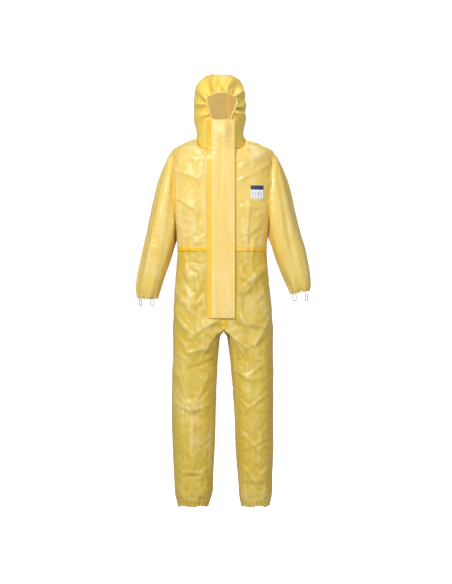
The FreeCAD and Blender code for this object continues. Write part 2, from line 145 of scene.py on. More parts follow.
def spline(table, at):
    """Smooth monotone interpolation of each column of a table sorted by its first column."""
    table = np.array(table, float)
    xs, ys = table[:, 0], table[:, 1:]
    at = np.clip(np.asarray(at, float), xs[0], xs[-1])
    step = np.diff(xs)
    slope = np.diff(ys, axis=0) / step[:, None]
    tangent = np.zeros_like(ys)
    tangent[0], tangent[-1] = slope[0], slope[-1]
    same = slope[:-1] * slope[1:] > 0
    mean = 2 * slope[:-1] * slope[1:] / np.where(same, slope[:-1] + slope[1:], 1)
    tangent[1:-1] = np.where(same, mean, 0)
    k = np.clip(np.searchsorted(xs, at, side="right") - 1, 0, len(xs) - 2)
    t = ((at - xs[k]) / step[k])[..., None]
    h = step[k][..., None]
    return (
        (2 * t**3 - 3 * t**2 + 1) * ys[k] + (t**3 - 2 * t**2 + t) * h * tangent[k]
        + (-2 * t**3 + 3 * t**2) * ys[k + 1] + (t**3 - t**2) * h * tangent[k + 1]
    )


def oval(turn, a, b, n):
    """Point of a superellipse at an angle: 0 is +X and -90 degrees is the front."""
    c, s = np.cos(turn), np.sin(turn)
    reach = ((np.abs(c) / a) ** n + (np.abs(s) / b) ** n) ** (-1 / n)
    return c * reach, s * reach


def closed_curve(points, at):
    """A smooth closed curve through points, at parameters 0..1 (periodic Catmull-Rom)."""
    p = np.array(points, float)
    n = len(p)
    u = (np.asarray(at) % 1.0) * n
    i = np.floor(u).astype(int) % n
    t = (u - np.floor(u))[:, None]
    a, b, c, d = p[(i - 1) % n], p[i], p[(i + 1) % n], p[(i + 2) % n]
    return 0.5 * (2 * b + (c - a) * t + (2 * a - 5 * b + 4 * c - d) * t**2 + (3 * b - a - 3 * c + d) * t**3)


def polar_outline(points, middle):
    """A closed outline as sorted angles round its middle and the reach at each."""
    curve = closed_curve(points, np.linspace(0, 1, 721)[:-1]) - np.array(middle)
    angle = np.arctan2(curve[:, 1], curve[:, 0])
    order = np.argsort(angle)
    return angle[order], np.hypot(curve[:, 0], curve[:, 1])[order]


FACE_OUTLINE = polar_outline(FACE, FACE_MID)


def from_face(x, z):
    """The angle of points round the face opening, and how far outside its edge they lie."""
    dx, dz = x - FACE_MID[0], z - FACE_MID[1]
    angle = np.arctan2(dz, dx)
    return angle, np.hypot(dx, dz) - face_reach(angle)


def face_reach(angle):
    """Distance from the middle of the face opening to its edge, at an angle in the x-z plane."""
    return np.interp(angle, *FACE_OUTLINE, period=2 * math.pi)


# == The garment as one mesh of quads, each with a panel number and a tape mark ==
TAPES = ["", "waist", "armhole_right", "armhole_left", "neck", "hood_right", "hood_left", "crotch", "seat",
         "inseam_right", "inseam_left", "underarm_right", "underarm_left"]
PANELS = ["hood_centre", "hood_right", "hood_left", "front_right", "front_left", "back",
          "trouser_right", "trouser_left", "sleeve_right", "sleeve_left"]


class Cloth:
    """Grids of points that are gathered into one mesh."""

    def __init__(self):
        self.points, self.quads, self.panel, self.tape, self.pin = [], [], [], [], []
        self.count = 0

    def grid(self, p, panel, pin=None, tape=None, close=False, keep=None):
        """Adds a grid of points (rows, columns, 3). tape and keep hold one value for each of its quads."""
        rows, cols = p.shape[:2]
        base = self.count
        self.points.append(p.reshape(-1, 3))
        self.pin.append(np.zeros(rows * cols) if pin is None else pin.reshape(-1))
        self.count += rows * cols
        width = cols if close else cols - 1
        for r in range(rows - 1):
            for c in range(width):
                if keep is not None and not keep[r, c]:
                    continue
                d = (c + 1) % cols
                self.quads.append((base + r * cols + c, base + r * cols + d,
                                   base + (r + 1) * cols + d, base + (r + 1) * cols + c))
                self.panel.append(PANELS.index(panel) if isinstance(panel, str) else panel[r, c])
                self.tape.append(0 if tape is None else tape[r, c])

    def merged(self, digits=2):
        """Points that lie on each other become one."""
        p = np.concatenate(self.points)
        pin = np.concatenate(self.pin)
        key = np.round(p, digits)
        _, first, inverse = np.unique(key, axis=0, return_index=True, return_inverse=True)
        inverse = inverse.reshape(-1)
        strongest = np.zeros(len(first))
        np.maximum.at(strongest, inverse, pin)
        quads = inverse[np.array(self.quads)]
        return p[first], quads, np.array(self.panel), np.array(self.tape), strongest


def trunk_point(z, turn, table):
    """A point of the body's surface at a height and an angle, arrays of one shape."""
    xc, a, bf, bb, n = np.moveaxis(spline(table, z), -1, 0)
    b = np.where(np.sin(turn) < 0, bf, bb)
    x, y = oval(turn, a, b, n)
    return np.stack([x + xc, y + (FRONT_Y + bf), z + 0 * x], -1)


def armhole_depth(z, back):
    """How far the armhole's edge lies in front of or behind the side, at a height."""
    s = np.clip((z - Z_UNDERARM) / (ARMHOLE_TOP_Z - Z_UNDERARM), 0, 1)
    return ARMHOLE_DEPTH["back" if back else "front"] * np.sin(math.pi * s) ** 0.55


def side_turn(z, back):
    """The angle at which a body row meets the armhole's edge: 0 at the side seam."""
    out = np.zeros_like(z)
    for k, height in enumerate(z):
        depth = armhole_depth(height, back)
        turns = np.linspace(0, math.pi / 2, 400)
        sign = 1 if back else -1
        y = trunk_point(np.full(400, height), sign * turns, TRUNK)[:, 1]
        middle = trunk_point(np.array([height]), np.array([0.0]), TRUNK)[0, 1]
        reach = np.abs(y - middle)
        out[k] = np.interp(depth, reach, turns)
    return out


def hood_ring(z, turn):
    """Points of the hood's surface at heights and angles."""
    xc, a, b, yc, n = np.moveaxis(spline(HOOD, z), -1, 0)
    x, y = oval(turn, a, b, n)
    return np.stack([x + xc, y + yc, z + 0 * x], -1)


def neck_height(turn):
    """Height of the neck seam round the neck."""
    s = np.sin(turn)
    front = NECK_FRONT_Z - 2 + 48 * np.clip(1 + s, 0, 1) ** 1.6
    return np.where(s < 0, front, NECK_FRONT_Z + 46 + 16 * s)


def yoke_top(side, back, columns):
    """The upper edge of a front or back quarter: round the neck seam, then along the shoulder to its tip."""
    sign = SIGN[side]
    face = 1 if back else -1
    u = np.linspace(0, 1, columns)
    on_neck = np.clip(u / NECK_COLS, 0, 1)
    turn = face * (math.pi / 2) * (1 - on_neck)
    turn = mirrored(turn, sign)
    neck = hood_ring(neck_height(turn), turn)
    beside = mirrored(np.array([0.0]), sign)
    root = hood_ring(neck_height(beside), beside)[0]
    tip = np.array([sign * SHOULDER_TIP[0], *SHOULDER_TIP[1:]])
    along = np.clip((u - NECK_COLS) / (1 - NECK_COLS), 0, 1)[:, None]
    ridge = root + (tip - root) * along
    ridge[:, 2] += 5.0 * np.sin(math.pi * along[:, 0])
    return np.where((u <= NECK_COLS)[:, None], neck, ridge)


def quarter(side, back, slit):
    """Rows from the waist to the shoulder of one quarter of the body, centre edge first."""
    sign = SIGN[side]
    face = 1 if back else -1
    low = np.linspace(Z_WAIST, Z_UNDERARM, BODY_LOW + 1)[:-1]
    mid = np.linspace(Z_UNDERARM, Z_YOKE, ARM_ROWS + 1)
    z = np.concatenate([low, mid])
    edge = side_turn(z, back)
    u = np.linspace(0, 1, QUARTER + 1)
    turn = face * (math.pi / 2 + (edge[:, None] - math.pi / 2) * u)
    turn = mirrored(turn, sign)
    p = trunk_point(np.repeat(z[:, None], QUARTER + 1, 1), turn, TRUNK)
    top = yoke_top(side, back, QUARTER + 1)
    base = p[-1]
    rows = []
    for k in range(1, YOKE_ROWS + 1):
        turn_up = math.pi / 2 * k / YOKE_ROWS
        w = math.sin(turn_up)
        v = 1 - math.cos(turn_up)
        row = np.empty_like(base)
        row[:, 0] = base[:, 0] + (top[:, 0] - base[:, 0]) * (0.5 * v + 0.5 * w)
        row[:, 1] = base[:, 1] + (top[:, 1] - base[:, 1]) * v
        row[:, 2] = base[:, 2] + (top[:, 2] - base[:, 2]) * w
        rows.append(row)
    p = np.concatenate([p, np.array(rows)])
    if slit:
        p[:, 0, 0] += sign * slit
    return p


def crotch_pull(p, z):
    """Draws the front and back of the hips in between the legs."""
    near = np.exp(-((p[..., 0] - CROTCH_X) / 42.0) ** 2)
    depth = smooth_step((HIP_PULL_Z - z) / (HIP_PULL_Z - Z_CROTCH))
    p[..., 1] -= np.sign(p[..., 1]) * 16.0 * near * depth


def trouser(side):
    """One half of the trousers: rows from the waist down, columns from the centre front round to the centre
    back, and below the crotch on round the inner side of the leg."""
    sign = SIGN[side]
    u = np.linspace(0, 1, QUARTER + 1)
    z = np.linspace(Z_WAIST, Z_CROTCH, HIP_ROWS + 1)
    front = -math.pi / 2 * (1 - u)
    turn = np.concatenate([front, -front[::-1][1:]])
    turn = mirrored(turn, sign)
    hip = trunk_point(np.repeat(z[:, None], len(turn), 1), turn, HIPS)
    hip[:, (0, -1), 0] = 0.0
    shift = smooth_step((Z_WAIST - 60 - z) / 200.0) * CROTCH_X
    hip[..., 0] += shift[:, None] * np.exp(-(hip[..., 0] / 60.0) ** 2)
    crotch_pull(hip, z[:, None])

    # The crotch curve runs under the body from the back seam to the front seam.
    v = np.linspace(0, 1, INSEAM_COLS + 1)[1:-1]
    a, b = hip[-1, -1], hip[-1, 0]
    under = a + (b - a) * v[:, None]
    under[:, 2] -= CROTCH_SAG * np.sin(math.pi * v) ** 0.7
    top = np.concatenate([hip[-1], under])

    table = LEGS[side]
    outer = np.radians(np.linspace(-50, -310, 2 * QUARTER + 1))
    inner = np.radians(np.linspace(-310, -410, INSEAM_COLS + 1))[1:-1]
    ring_turn = np.concatenate([outer, inner])
    ring_turn = mirrored(ring_turn, -sign)
    heights = np.linspace(Z_CROTCH, 0, LEG_ROWS + 1)
    # The inner side of the leg turns away from the crotch sooner than the outer side.
    inner_share = np.clip((np.cos(ring_turn) * -sign - 0.2) / 0.5, 0, 1)
    blend_rows = LEG_BLEND + (INNER_BLEND - LEG_BLEND) * smooth_step(inner_share)
    rows = []
    for k in range(1, LEG_ROWS + 1):
        xc, half, depth, n = spline(table, np.array([heights[k]]))[0]
        x, y = oval(ring_turn, half, depth, n)
        ring = np.stack([x + xc, y + 3.0 * heights[k] / Z_CROTCH, np.full(len(x), heights[k])], -1)
        s = smooth_step(k / blend_rows)[:, None]
        row = top * (1 - s) + ring * s
        if k <= LEG_BLEND:
            row[:, 2] = top[:, 2] + (heights[LEG_BLEND] - top[:, 2]) * k / LEG_BLEND
        rows.append(row)
    return hip, np.array([top] + rows)


def sleeve(side, front, back):
    """Rings of a sleeve from the armhole to the hem. front and back are the armhole's edges."""
    sign = SIGN[side]
    start = np.concatenate([front, back[::-1][1:-1]])
    half = len(front) - 1
    i = np.arange(len(start))
    # Angle round the ring: 0 at the underarm, pi at the shoulder tip, through the front.
    turn = math.pi * i / half
    stations = [(k, a[0], a[1], b[0], b[1], d) for k, (a, b, d) in enumerate(SLEEVES[side])]
    last = len(stations) - 1
    at = np.linspace(-1, last, SLEEVE_ROWS + 1)
    rows = [start]
    for t in at[1:]:
        ix, iz, ox, oz, depth = spline(stations, np.array([max(t, 0)]))[0]
        mid = np.array([(ix + ox) / 2, 0, (iz + oz) / 2])
        across = np.array([(ox - ix) / 2, 0, (oz - iz) / 2])
        n = SLEEVE_ROUNDNESS
        c, s = np.cos(turn), np.sin(turn)
        reach = (np.abs(c) ** n + np.abs(s) ** n) ** (-1 / n)
        ring = mid - across * (c * reach)[:, None]
        ring[:, 1] -= depth * s * reach
        ring[:, 0] *= sign
        if t < 0:
            w = smooth_step(t + 1)
            ring = start * (1 - w) + ring * w
        rows.append(ring)
    return np.array(rows)


def hood_grid():
    """Rows of the hood from the neck seam to the crown."""
    turn = np.linspace(-math.pi / 2, 3 * math.pi / 2, HOOD_COLS + 1)[:-1]
    low_rows, low = 16, neck_height(turn)
    rows = [hood_ring(low + (HOOD_RINGS_Z - low) * k / low_rows, turn) for k in range(low_rows + 1)]
    spans = [(HOOD_RINGS_Z, 1701, 30), (1701, 1734, 10), (1734, 1748, 7), (1748, 1755, 6)]
    levels = np.concatenate([np.linspace(*span)[1:] for span in spans] + [[1756.2, 1757.0]])
    rows += [hood_ring(np.full(len(turn), h), turn) for h in levels]
    crown = np.array([HOOD[-1][1], HOOD[-1][4], HOOD[-1][0] + 0.4])
    rows += [rows[-1] * (1 - k) + crown * k for k in (0.45, 0.8, 1.0)]
    return np.array(rows)


def cut_face(p):
    """Snaps the points inside the face opening to its edge, and says which quads to keep."""
    dx, dz = p[..., 0] - FACE_MID[0], p[..., 2] - FACE_MID[1]
    angle, r = np.arctan2(dz, dx), np.hypot(dx, dz)
    edge = face_reach(angle)
    inside = (r < edge) & (p[..., 1] < 0)
    beside = np.roll(inside, -1, axis=1)
    gone = inside[:-1] & beside[:-1] & inside[1:] & beside[1:]
    k = edge / np.maximum(r, 1e-6)
    p[..., 0] = np.where(inside, FACE_MID[0] + dx * k, p[..., 0])
    p[..., 2] = np.where(inside, FACE_MID[1] + dz * k, p[..., 2])
    return ~gone


def tape_map(rows, columns, marks):
    """Tape numbers of a grid's quads. marks are (row slice, column index or slice, tape name)."""
    out = np.zeros((rows, columns), int)
    for row, column, name in marks:
        out[row, column] = TAPES.index(name)
    return out


def build_body(cloth, side):
    """The front and back quarters above the waist. Returns the armhole's edges, from the bottom up."""
    front = quarter(side, False, SLIT_HALF)
    back = quarter(side, True, 0.0)
    neck_columns = int(NECK_COLS * QUARTER)
    # Below the underarm the two quarters meet at the side; above it they end on the armhole.
    back[: BODY_LOW + 1, -1] = front[: BODY_LOW + 1, -1]
    back[-1, neck_columns + 1:] = front[-1, neck_columns + 1:]
    pin = np.zeros(front.shape[:2])
    pin[-1, : neck_columns + 2] = 1.0
    front_pin = pin.copy()
    front_pin[:, :2] = 1.0
    every = slice(None)
    tape = tape_map(len(front) - 1, QUARTER, [
        (slice(BODY_LOW, None), -1, "armhole_" + side), (0, every, "waist"),
        (-1, slice(0, neck_columns + 1), "neck")])
    cloth.grid(front, "front_" + side, front_pin, tape)
    cloth.grid(back, "back", pin, tape)
    return front[BODY_LOW:, -1], back[BODY_LOW:, -1]


def build_trouser(cloth, side):
    hip, leg = trouser(side)
    every = slice(None)
    pin = np.zeros(hip.shape[:2])
    pin[:, (0, -1)] = 0.5
    tape = tape_map(HIP_ROWS, 2 * QUARTER, [
        (every, slice(-1, None), "seat"), (slice(-9, None), slice(0, 2), "crotch"), (0, every, "waist")])
    cloth.grid(hip, "trouser_" + side, pin, tape)
    middle = 2 * QUARTER + INSEAM_COLS // 2
    tape = tape_map(LEG_ROWS, leg.shape[1], [
        (every, slice(middle - 1, middle + 1), "inseam_" + side), (0, slice(2 * QUARTER, None), "crotch")])
    pin = np.zeros(leg.shape[:2])
    pin[-3:] = 1.0
    cloth.grid(leg, "trouser_" + side, pin, tape, close=True)


def build_sleeve(cloth, side, edges):
    rings = sleeve(side, *edges)
    pin = np.zeros(rings.shape[:2])
    pin[-3:] = 1.0
    every = slice(None)
    tape = tape_map(SLEEVE_ROWS, rings.shape[1], [
        (every, 0, "underarm_" + side), (every, -1, "underarm_" + side), (0, every, "armhole_" + side)])
    cloth.grid(rings, "sleeve_" + side, pin, tape, close=True)


def build_hood(cloth):
    p = hood_grid()
    keep = cut_face(p)
    nxt = np.roll(p[..., 0], -1, axis=1)
    x = (p[:-1, :, 0] + p[1:, :, 0] + nxt[:-1] + nxt[1:]) / 4
    y, z = p[:-1, :, 1], p[:-1, :, 2]
    chin = (z < CHIN_Z) & (y < 0)
    number = {n: PANELS.index("hood_" + n) for n in ("centre", "right", "left")}
    panel = np.where(x > HOOD_SEAMS[1], number["left"], number["centre"])
    panel = np.where(x < HOOD_SEAMS[0], number["right"], panel)
    panel = np.where(chin, np.where(x < 0, number["right"], number["left"]), panel)
    slit = chin & (np.abs(x) < SLIT_HALF)
    tape = np.zeros(x.shape, int)
    for seam, name in zip(HOOD_SEAMS, ("hood_right", "hood_left")):
        tape[(np.abs(x - seam) < HOOD_TAPE_HALF) & ~chin] = TAPES.index(name)
    tape[0] = TAPES.index("neck")
    pin = np.zeros(p.shape[:2])
    pin[:2] = 1.0
    pin[-8:] = 1.0
    pin[(from_face(p[..., 0], p[..., 2])[1] < 6) & (p[..., 1] < 0)] = 1.0
    cloth.grid(p, panel, pin, tape, close=True, keep=keep & ~slit)


def build_garment():
    cloth = Cloth()
    for side in SIDES:
        edges = build_body(cloth, side)
        build_trouser(cloth, side)
        build_sleeve(cloth, side, edges)
    build_hood(cloth)
    p, quads, panel, tape, pin = cloth.merged()
    return p, facing_out(p, quads), panel, tape, pin


def facing_out(p, quads):
    """The same faces, each wound so that it faces out of the garment."""
    obj = mesh_object("winding", p, quads)
    work = bmesh.new()
    work.from_mesh(obj.data)
    bmesh.ops.recalc_face_normals(work, faces=work.faces)
    out = [[v.index for v in f.verts] for f in work.faces]
    work.free()
    remove(obj)
    return np.array([f if len(f) == 4 else f + f[-1:] for f in out])


def without_repeats(face):
    return [int(v) for k, v in enumerate(face) if v != face[k - 1]]


def add_object(name, data):
    obj = bpy.data.objects.new(name, data)
    bpy.context.scene.collection.objects.link(obj)
    return obj


def mesh_object(name, points, faces):
    """A mesh object from points in millimetres. A quad that names a point twice becomes a triangle."""
    mesh = bpy.data.meshes.new(name)
    mesh.from_pydata((np.asarray(points) * MM).tolist(), [], [without_repeats(f) for f in faces])
    mesh.update()
    return add_object(name, mesh)


def remove(obj):
    mesh = obj.data
    bpy.data.objects.remove(obj, do_unlink=True)
    bpy.data.meshes.remove(mesh)


# == Folds: the main ones are drawn as strokes and flat planes, and a cloth simulation adds small buckles ==
CLOTH = dict(quality=5, mass=0.12, tension_stiffness=25, compression_stiffness=25, shear_stiffness=12,
             bending_stiffness=0.8, bending_damping=0.6, air_damping=4.0, pin_stiffness=0.6,
             shrink_min=-0.030)
CLOTH_GRAVITY = 0.35
CLOTH_FRAMES = 24
# How closely free cloth is held to the drawn shape, against 1 at a seam or hem.
SOFT_HOLD, CHEST_HOLD, HOOD_HOLD, SLEEVE_HOLD, OUTLINE_HOLD = 0.25, 0.45, 0.6, 0.85, 0.85
CHEST_Z = 1240
HOLD_LEVELS = 20
STROKE_END = 22.0     # how far a stroke reaches past its ends

# The flat planes of each part, bold ones and then small ones: their height, width, length and seed.
FACETS = {
    "thigh": ((4.6, 74, 92, 3), (2.2, 33, 40, 5)),
    "shin": ((2.6, 52, 210, 7), (0.8, 27, 60, 9)),
    "chest": ((3.4, 84, 104, 11), (0.8, 34, 56, 13)),
    "sleeve": ((2.0, 34, 190, 15), (0.8, 20, 70, 17)),
}
SHIN_TOP_Z, KNEE_LENGTH = 330, 200      # where the shin's planes start to turn into the thigh's
FACET_TABLE = 64

# Each stroke is a polyline of (x, z), the reach of its upper and its lower side, and its height.
STROKES = [
    # thighs, the wearer's right then left
    ([(-196, 800), (-125, 694), (-32, 756)], 55, 14, 8.5),
    ([(-157, 664), (-132, 630), (-72, 646)], 34, 14, 6.0),
    ([(-196, 640), (-150, 600)], 26, 14, 4.0),
    ([(-128, 566), (-36, 600)], 14, 30, -4.0),
    ([(40, 806), (90, 748), (150, 738)], 40, 14, 4.5),
    ([(140, 672), (200, 800)], 26, 12, 3.5),
    ([(62, 680), (98, 652), (134, 672)], 24, 12, 3.0),
    # knees
    ([(-178, 536), (-122, 400), (-70, 516)], 60, 16, 4.5),
    ([(58, 552), (98, 527), (140, 566)], 30, 12, 2.6),
    ([(84, 428), (108, 404), (150, 440)], 22, 11, 2.0),
    # shins
    ([(-124, 420), (-121, 150)], 34, 34, 5.0),
    ([(122, 520), (128, 120)], 34, 34, 4.0),
    ([(98, 290), (125, 256), (150, 268)], 20, 11, 2.0),
    ([(108, 142), (134, 100)], 20, 12, 2.0),
    # hips
    ([(-184, 960), (-118, 830), (-68, 950)], 36, 14, 5.0),
    ([(-188, 880), (-134, 804)], 26, 14, 5.0),
    ([(48, 956), (79, 884), (150, 968)], 34, 14, 6.5),
    ([(100, 880), (184, 984)], 24, 12, 5.0),
    ([(-150, 1020), (-140, 930)], 16, 16, 3.5),
    ([(120, 1022), (112, 930)], 16, 16, 3.5),
    # chest
    ([(-196, 1366), (-100, 1334), (-62, 1356)], 44, 20, 6.0),
    ([(-190, 1256), (-104, 1204)], 30, 20, 4.0),
    ([(-116, 1210), (-112, 1080)], 20, 16, 4.5),
    ([(50, 1364), (168, 1438)], 26, 18, 5.0),
    ([(54, 1314), (190, 1392)], 22, 18, 3.5),
    ([(104, 1216), (100, 1082)], 18, 16, 4.5),
    # shoulders
    ([(-70, 1448), (-150, 1462)], 16, 12, 3.0),
]
BACK_STROKES = [
    ([(-150, 1430), (-40, 1390), (60, 1400), (160, 1436)], 40, 22, 6.0),
    ([(-170, 1180), (-60, 1120)], 34, 20, 5.0), ([(60, 1130), (168, 1190)], 34, 20, 5.0),
    ([(-90, 1300), (-80, 1100)], 24, 24, 4.0), ([(86, 1280), (76, 1090)], 24, 24, 4.0),
    ([(-186, 930), (-100, 800), (-20, 900)], 46, 18, 7.0), ([(20, 900), (104, 806), (190, 940)], 46, 18, 7.0),
    ([(-170, 700), (-110, 640), (-50, 700)], 34, 16, 6.0), ([(60, 700), (118, 636), (176, 704)], 34, 16, 6.0),
    ([(-180, 500), (-120, 440), (-60, 500)], 40, 16, 7.0), ([(70, 510), (126, 446), (184, 500)], 40, 16, 7.0),
    ([(-120, 440), (-118, 120)], 18, 18, 4.0), ([(126, 446), (132, 120)], 18, 18, 4.0),
]


def stroke_height(x, z, strokes, width=1.0):
    """Sum of the strokes' heights at points (x, z), with each stroke's reach times width."""
    total = np.zeros_like(x)
    for line, up, down, height in strokes:
        best = np.zeros_like(x)
        for (x0, z0), (x1, z1) in zip(line, line[1:]):
            dx, dz = x1 - x0, z1 - z0
            size = math.hypot(dx, dz)
            nx, nz = -dz / size, dx / size
            if nz < 0 or (abs(nz) < 1e-6 and nx < 0):
                nx, nz = -nx, -nz
            along = ((x - x0) * dx + (z - z0) * dz) / size
            off = np.where(along < 0, -along, np.where(along > size, along - size, 0))
            across = (x - x0) * nx + (z - z0) * nz
            reach = np.where(across > 0, up, down) * width
            here = np.exp(-(np.abs(across) / reach) ** 1.25) * np.exp(-(off / STROKE_END) ** 2)
            best = np.maximum(best, here)
        total += height * best
    return total


def facets(x, z, width, height, seed):
    """Flat planes that meet at sharp creases, as in crumpled film: heights between -1 and 1."""
    bent_x = x + 13 * np.sin(z / 47 + seed) + 6 * np.sin(z / 21 + 2.3 * seed)
    bent_z = z + 17 * np.sin(x / 39 + 1.7 * seed) + 7 * np.sin(x / 17 + seed)
    u, v = bent_x / width + 0.5 * bent_z / height, bent_z / height
    i, j = np.floor(u).astype(int), np.floor(v).astype(int)
    u, v = u - i, v - j
    table = np.random.default_rng(seed).uniform(-1, 1, (FACET_TABLE, FACET_TABLE))
    c00, c10, c01, c11 = (table[(i + a) % FACET_TABLE, (j + b) % FACET_TABLE]
                          for a, b in ((0, 0), (1, 0), (0, 1), (1, 1)))
    low = c00 * (1 - u - v) + c10 * u + c01 * v
    high = c11 * (u + v - 1) + c01 * (1 - u) + c10 * (1 - v)
    return np.where(u + v < 1, low, high)


def draw_facets(p, quads, panel, normal):
    """Height of the flat crumpled planes: bold on the hips and thighs, long and low on shins and sleeves."""
    x, y, z = p.T
    pattern_z = z + np.where(y > 0, 700, 0)
    above_shin = smooth_step((z - SHIN_TOP_Z) / KNEE_LENGTH)
    out = np.zeros(len(p))
    # The planes are drawn across the front and the back, and across the sides at half the height.
    for across, weight in ((x, normal[:, 1] ** 2), (y + 900, 0.5 * normal[:, 0] ** 2)):
        thigh, shin, chest, on_sleeve = (
            sum(high * facets(across, pattern_z, wide, long, seed) for high, wide, long, seed in FACETS[part])
            for part in ("thigh", "shin", "chest", "sleeve"))
        body = np.where(z > Z_WAIST, chest, shin + (thigh - shin) * above_shin)
        out += weight * np.where(points_of(quads, panel, "sleeve", len(p)), on_sleeve, body)
    near_seam = np.clip(np.abs(z - Z_WAIST) / 30, 0, 1)
    return np.where(points_of(quads, panel, "hood", len(p)), 0, out) * near_seam * (1 - under_flap(p))


def mesh_normals(p, quads):
    a, b, c, d = (p[quads[:, k]] for k in range(4))
    face = np.cross(c - a, d - b)
    out = np.zeros_like(p)
    for k in range(4):
        np.add.at(out, quads[:, k], face)
    return out / np.maximum(np.linalg.norm(out, axis=1, keepdims=True), 1e-9)


def draw_folds(p, quads, panel, free):
    """Moves points along their normals by the drawn folds, and along the sleeves by lengthwise waves."""
    normal = mesh_normals(p, quads)
    on_sleeve = points_of(quads, panel, "sleeve", len(p))
    on_hood = points_of(quads, panel, "hood", len(p))
    x, y, z = p.T
    facing = smooth_step(-normal[:, 1] * 1.6)
    behind = smooth_step(normal[:, 1] * 1.6)
    strokes = stroke_height(x, z, STROKES) * facing + stroke_height(x, z, BACK_STROKES) * behind
    push = np.where(on_sleeve | on_hood, 0.0, strokes)

    # Sleeves: long soft folds that fan from the shoulder and close in on the cuff.
    for sign in (-1, 1):
        here = on_sleeve & (x * sign > 0)
        s = np.clip((1449.0 - z[here]) / 600.0, 0, 1)
        centre = 199.0 + 112.0 * s**1.15
        turn = np.arctan2(y[here], np.abs(x[here]) - centre)
        wave = 4.4 * np.sin(3 * turn + 1.6 * s + sign) + 3.4 * np.sin(6 * turn - 2.2 * s + 2 * sign)
        wave += 1.5 * np.sin(11 * turn + 3.0 * s)
        push[here] += wave * smooth_step(s * 4) * (1 - 0.35 * s)

    # Hood: creases that run from the face opening outwards, and soft dents on the crown.
    here = on_hood
    angle, out = from_face(x[here], z[here])
    front = smooth_step(-normal[here, 1] * 1.5 + 0.3)
    fan = 8.0 * np.sin(11 * angle + 0.8 * np.sin(2 * angle)) * np.exp(-((out - 32) / 30.0) ** 2)
    fan += 4.8 * np.sin(19 * angle + 1.3) * np.exp(-((out - 16) / 18.0) ** 2)
    push[here] += fan * front
    top = smooth_step((z[here] - 1690) / 40)
    dents = np.sin(x[here] / 11.0 + 1.5 * np.sin(y[here] / 40.0)) * (1 - 0.5 * np.sin(x[here] / 31.0))
    push[here] += 2.6 * top * dents
    return p + normal * (push * free)[:, None]


def crumple(p, quads, pin):
    """Lets the cloth buckle: its rest lengths are a little longer than the shape it is held near."""
    obj = mesh_object("garment_cloth", p, quads)
    group = obj.vertex_groups.new(name="hold")
    for level in range(HOLD_LEVELS + 1):
        ids = np.nonzero(np.round(pin * HOLD_LEVELS) == level)[0].tolist()
        if ids:
            group.add(ids, max(level / HOLD_LEVELS, 0.0001), "REPLACE")
    mod = obj.modifiers.new("cloth", "CLOTH")
    for setting, value in CLOTH.items():
        setattr(mod.settings, setting, value)
    mod.settings.vertex_group_mass = "hold"
    mod.settings.effector_weights.gravity = CLOTH_GRAVITY
    mod.collision_settings.use_collision = False
    mod.collision_settings.use_self_collision = False
    mod.point_cache.frame_start = 1
    mod.point_cache.frame_end = CLOTH_FRAMES
    scene = bpy.context.scene
    for f in range(1, CLOTH_FRAMES + 1):
        scene.frame_set(f)
    done = obj.evaluated_get(bpy.context.evaluated_depsgraph_get())
    co = np.empty(len(p) * 3, np.float32)
    done.data.vertices.foreach_get("co", co)
    remove(obj)
    scene.frame_set(1)
    return co.reshape(-1, 3).astype(float) / MM


# == Finer mesh, gathers at the elastics, and what each point knows about its place and its fold ==
def evaluated(obj):
    return bpy.data.meshes.new_from_object(obj.evaluated_get(bpy.context.evaluated_depsgraph_get()))


def subdivided(p, quads, panel, tape):
    """One level of subdivision, with each face's panel and tape carried along."""
    obj = mesh_object("finer", p, quads)
    for name, values in (("panel", panel), ("tape", tape)):
        obj.data.attributes.new(name, "INT", "FACE").data.foreach_set("value", values.astype(np.int32))
    obj.modifiers.new("finer", "SUBSURF").levels = 1
    mesh = evaluated(obj)
    co = np.empty(len(mesh.vertices) * 3, np.float32)
    mesh.vertices.foreach_get("co", co)
    loops = np.empty(len(mesh.loops), np.int32)
    mesh.loops.foreach_get("vertex_index", loops)
    marks = []
    for name in ("panel", "tape"):
        values = np.empty(len(mesh.polygons), np.int32)
        mesh.attributes[name].data.foreach_get("value", values)
        marks.append(values)
    bpy.data.meshes.remove(mesh)
    remove(obj)
    return co.reshape(-1, 3).astype(float) / MM, loops.reshape(-1, 4).astype(int), marks[0], marks[1]


def points_of(quads, panel, prefix, count):
    """Which points belong to the panels whose names start with prefix."""
    chosen = [k for k, name in enumerate(PANELS) if name.startswith(prefix)]
    out = np.zeros(count, bool)
    out[quads[np.isin(panel, chosen)].ravel()] = True
    return out


def gather(turn, waves, phase):
    """Uneven gathers round a closed edge."""
    uneven = 0.75 + 0.25 * np.sin(5 * turn + 2 * phase)
    return np.sin(waves * turn + phase + 0.9 * np.sin(3 * turn + phase)) * uneven


CREASE_WIDTH = 0.35   # the sharp crest along a broad fold: its reach and its height, as shares of the fold's
CREASE_SHARE = 0.10
ZIP_HOLLOW = 6.0      # how far the front of the trousers gives way behind the zip
# How many gathers lie round each elastic.
ANKLE_WAVES, CUFF_WAVES, FACE_WAVES, WAIST_WAVES = 24, 19, 28, 58


def leg_turn(x, y, z, side):
    centre = spline(LEGS[side], z)[:, 0]
    return np.arctan2(y, x - centre)


def cuff_frame(side):
    """The middle of a sleeve's hem, half its width, and the direction of its long axis, in x and z."""
    sign = SIGN[side]
    (ix, iz), (ox, oz), depth = SLEEVES[side][-1]
    middle = np.array([sign * (ix + ox) / 2, (iz + oz) / 2])
    across = np.array([sign * (ox - ix), oz - iz])
    half = np.linalg.norm(across) / 2
    return middle, half, depth, across / (2 * half)


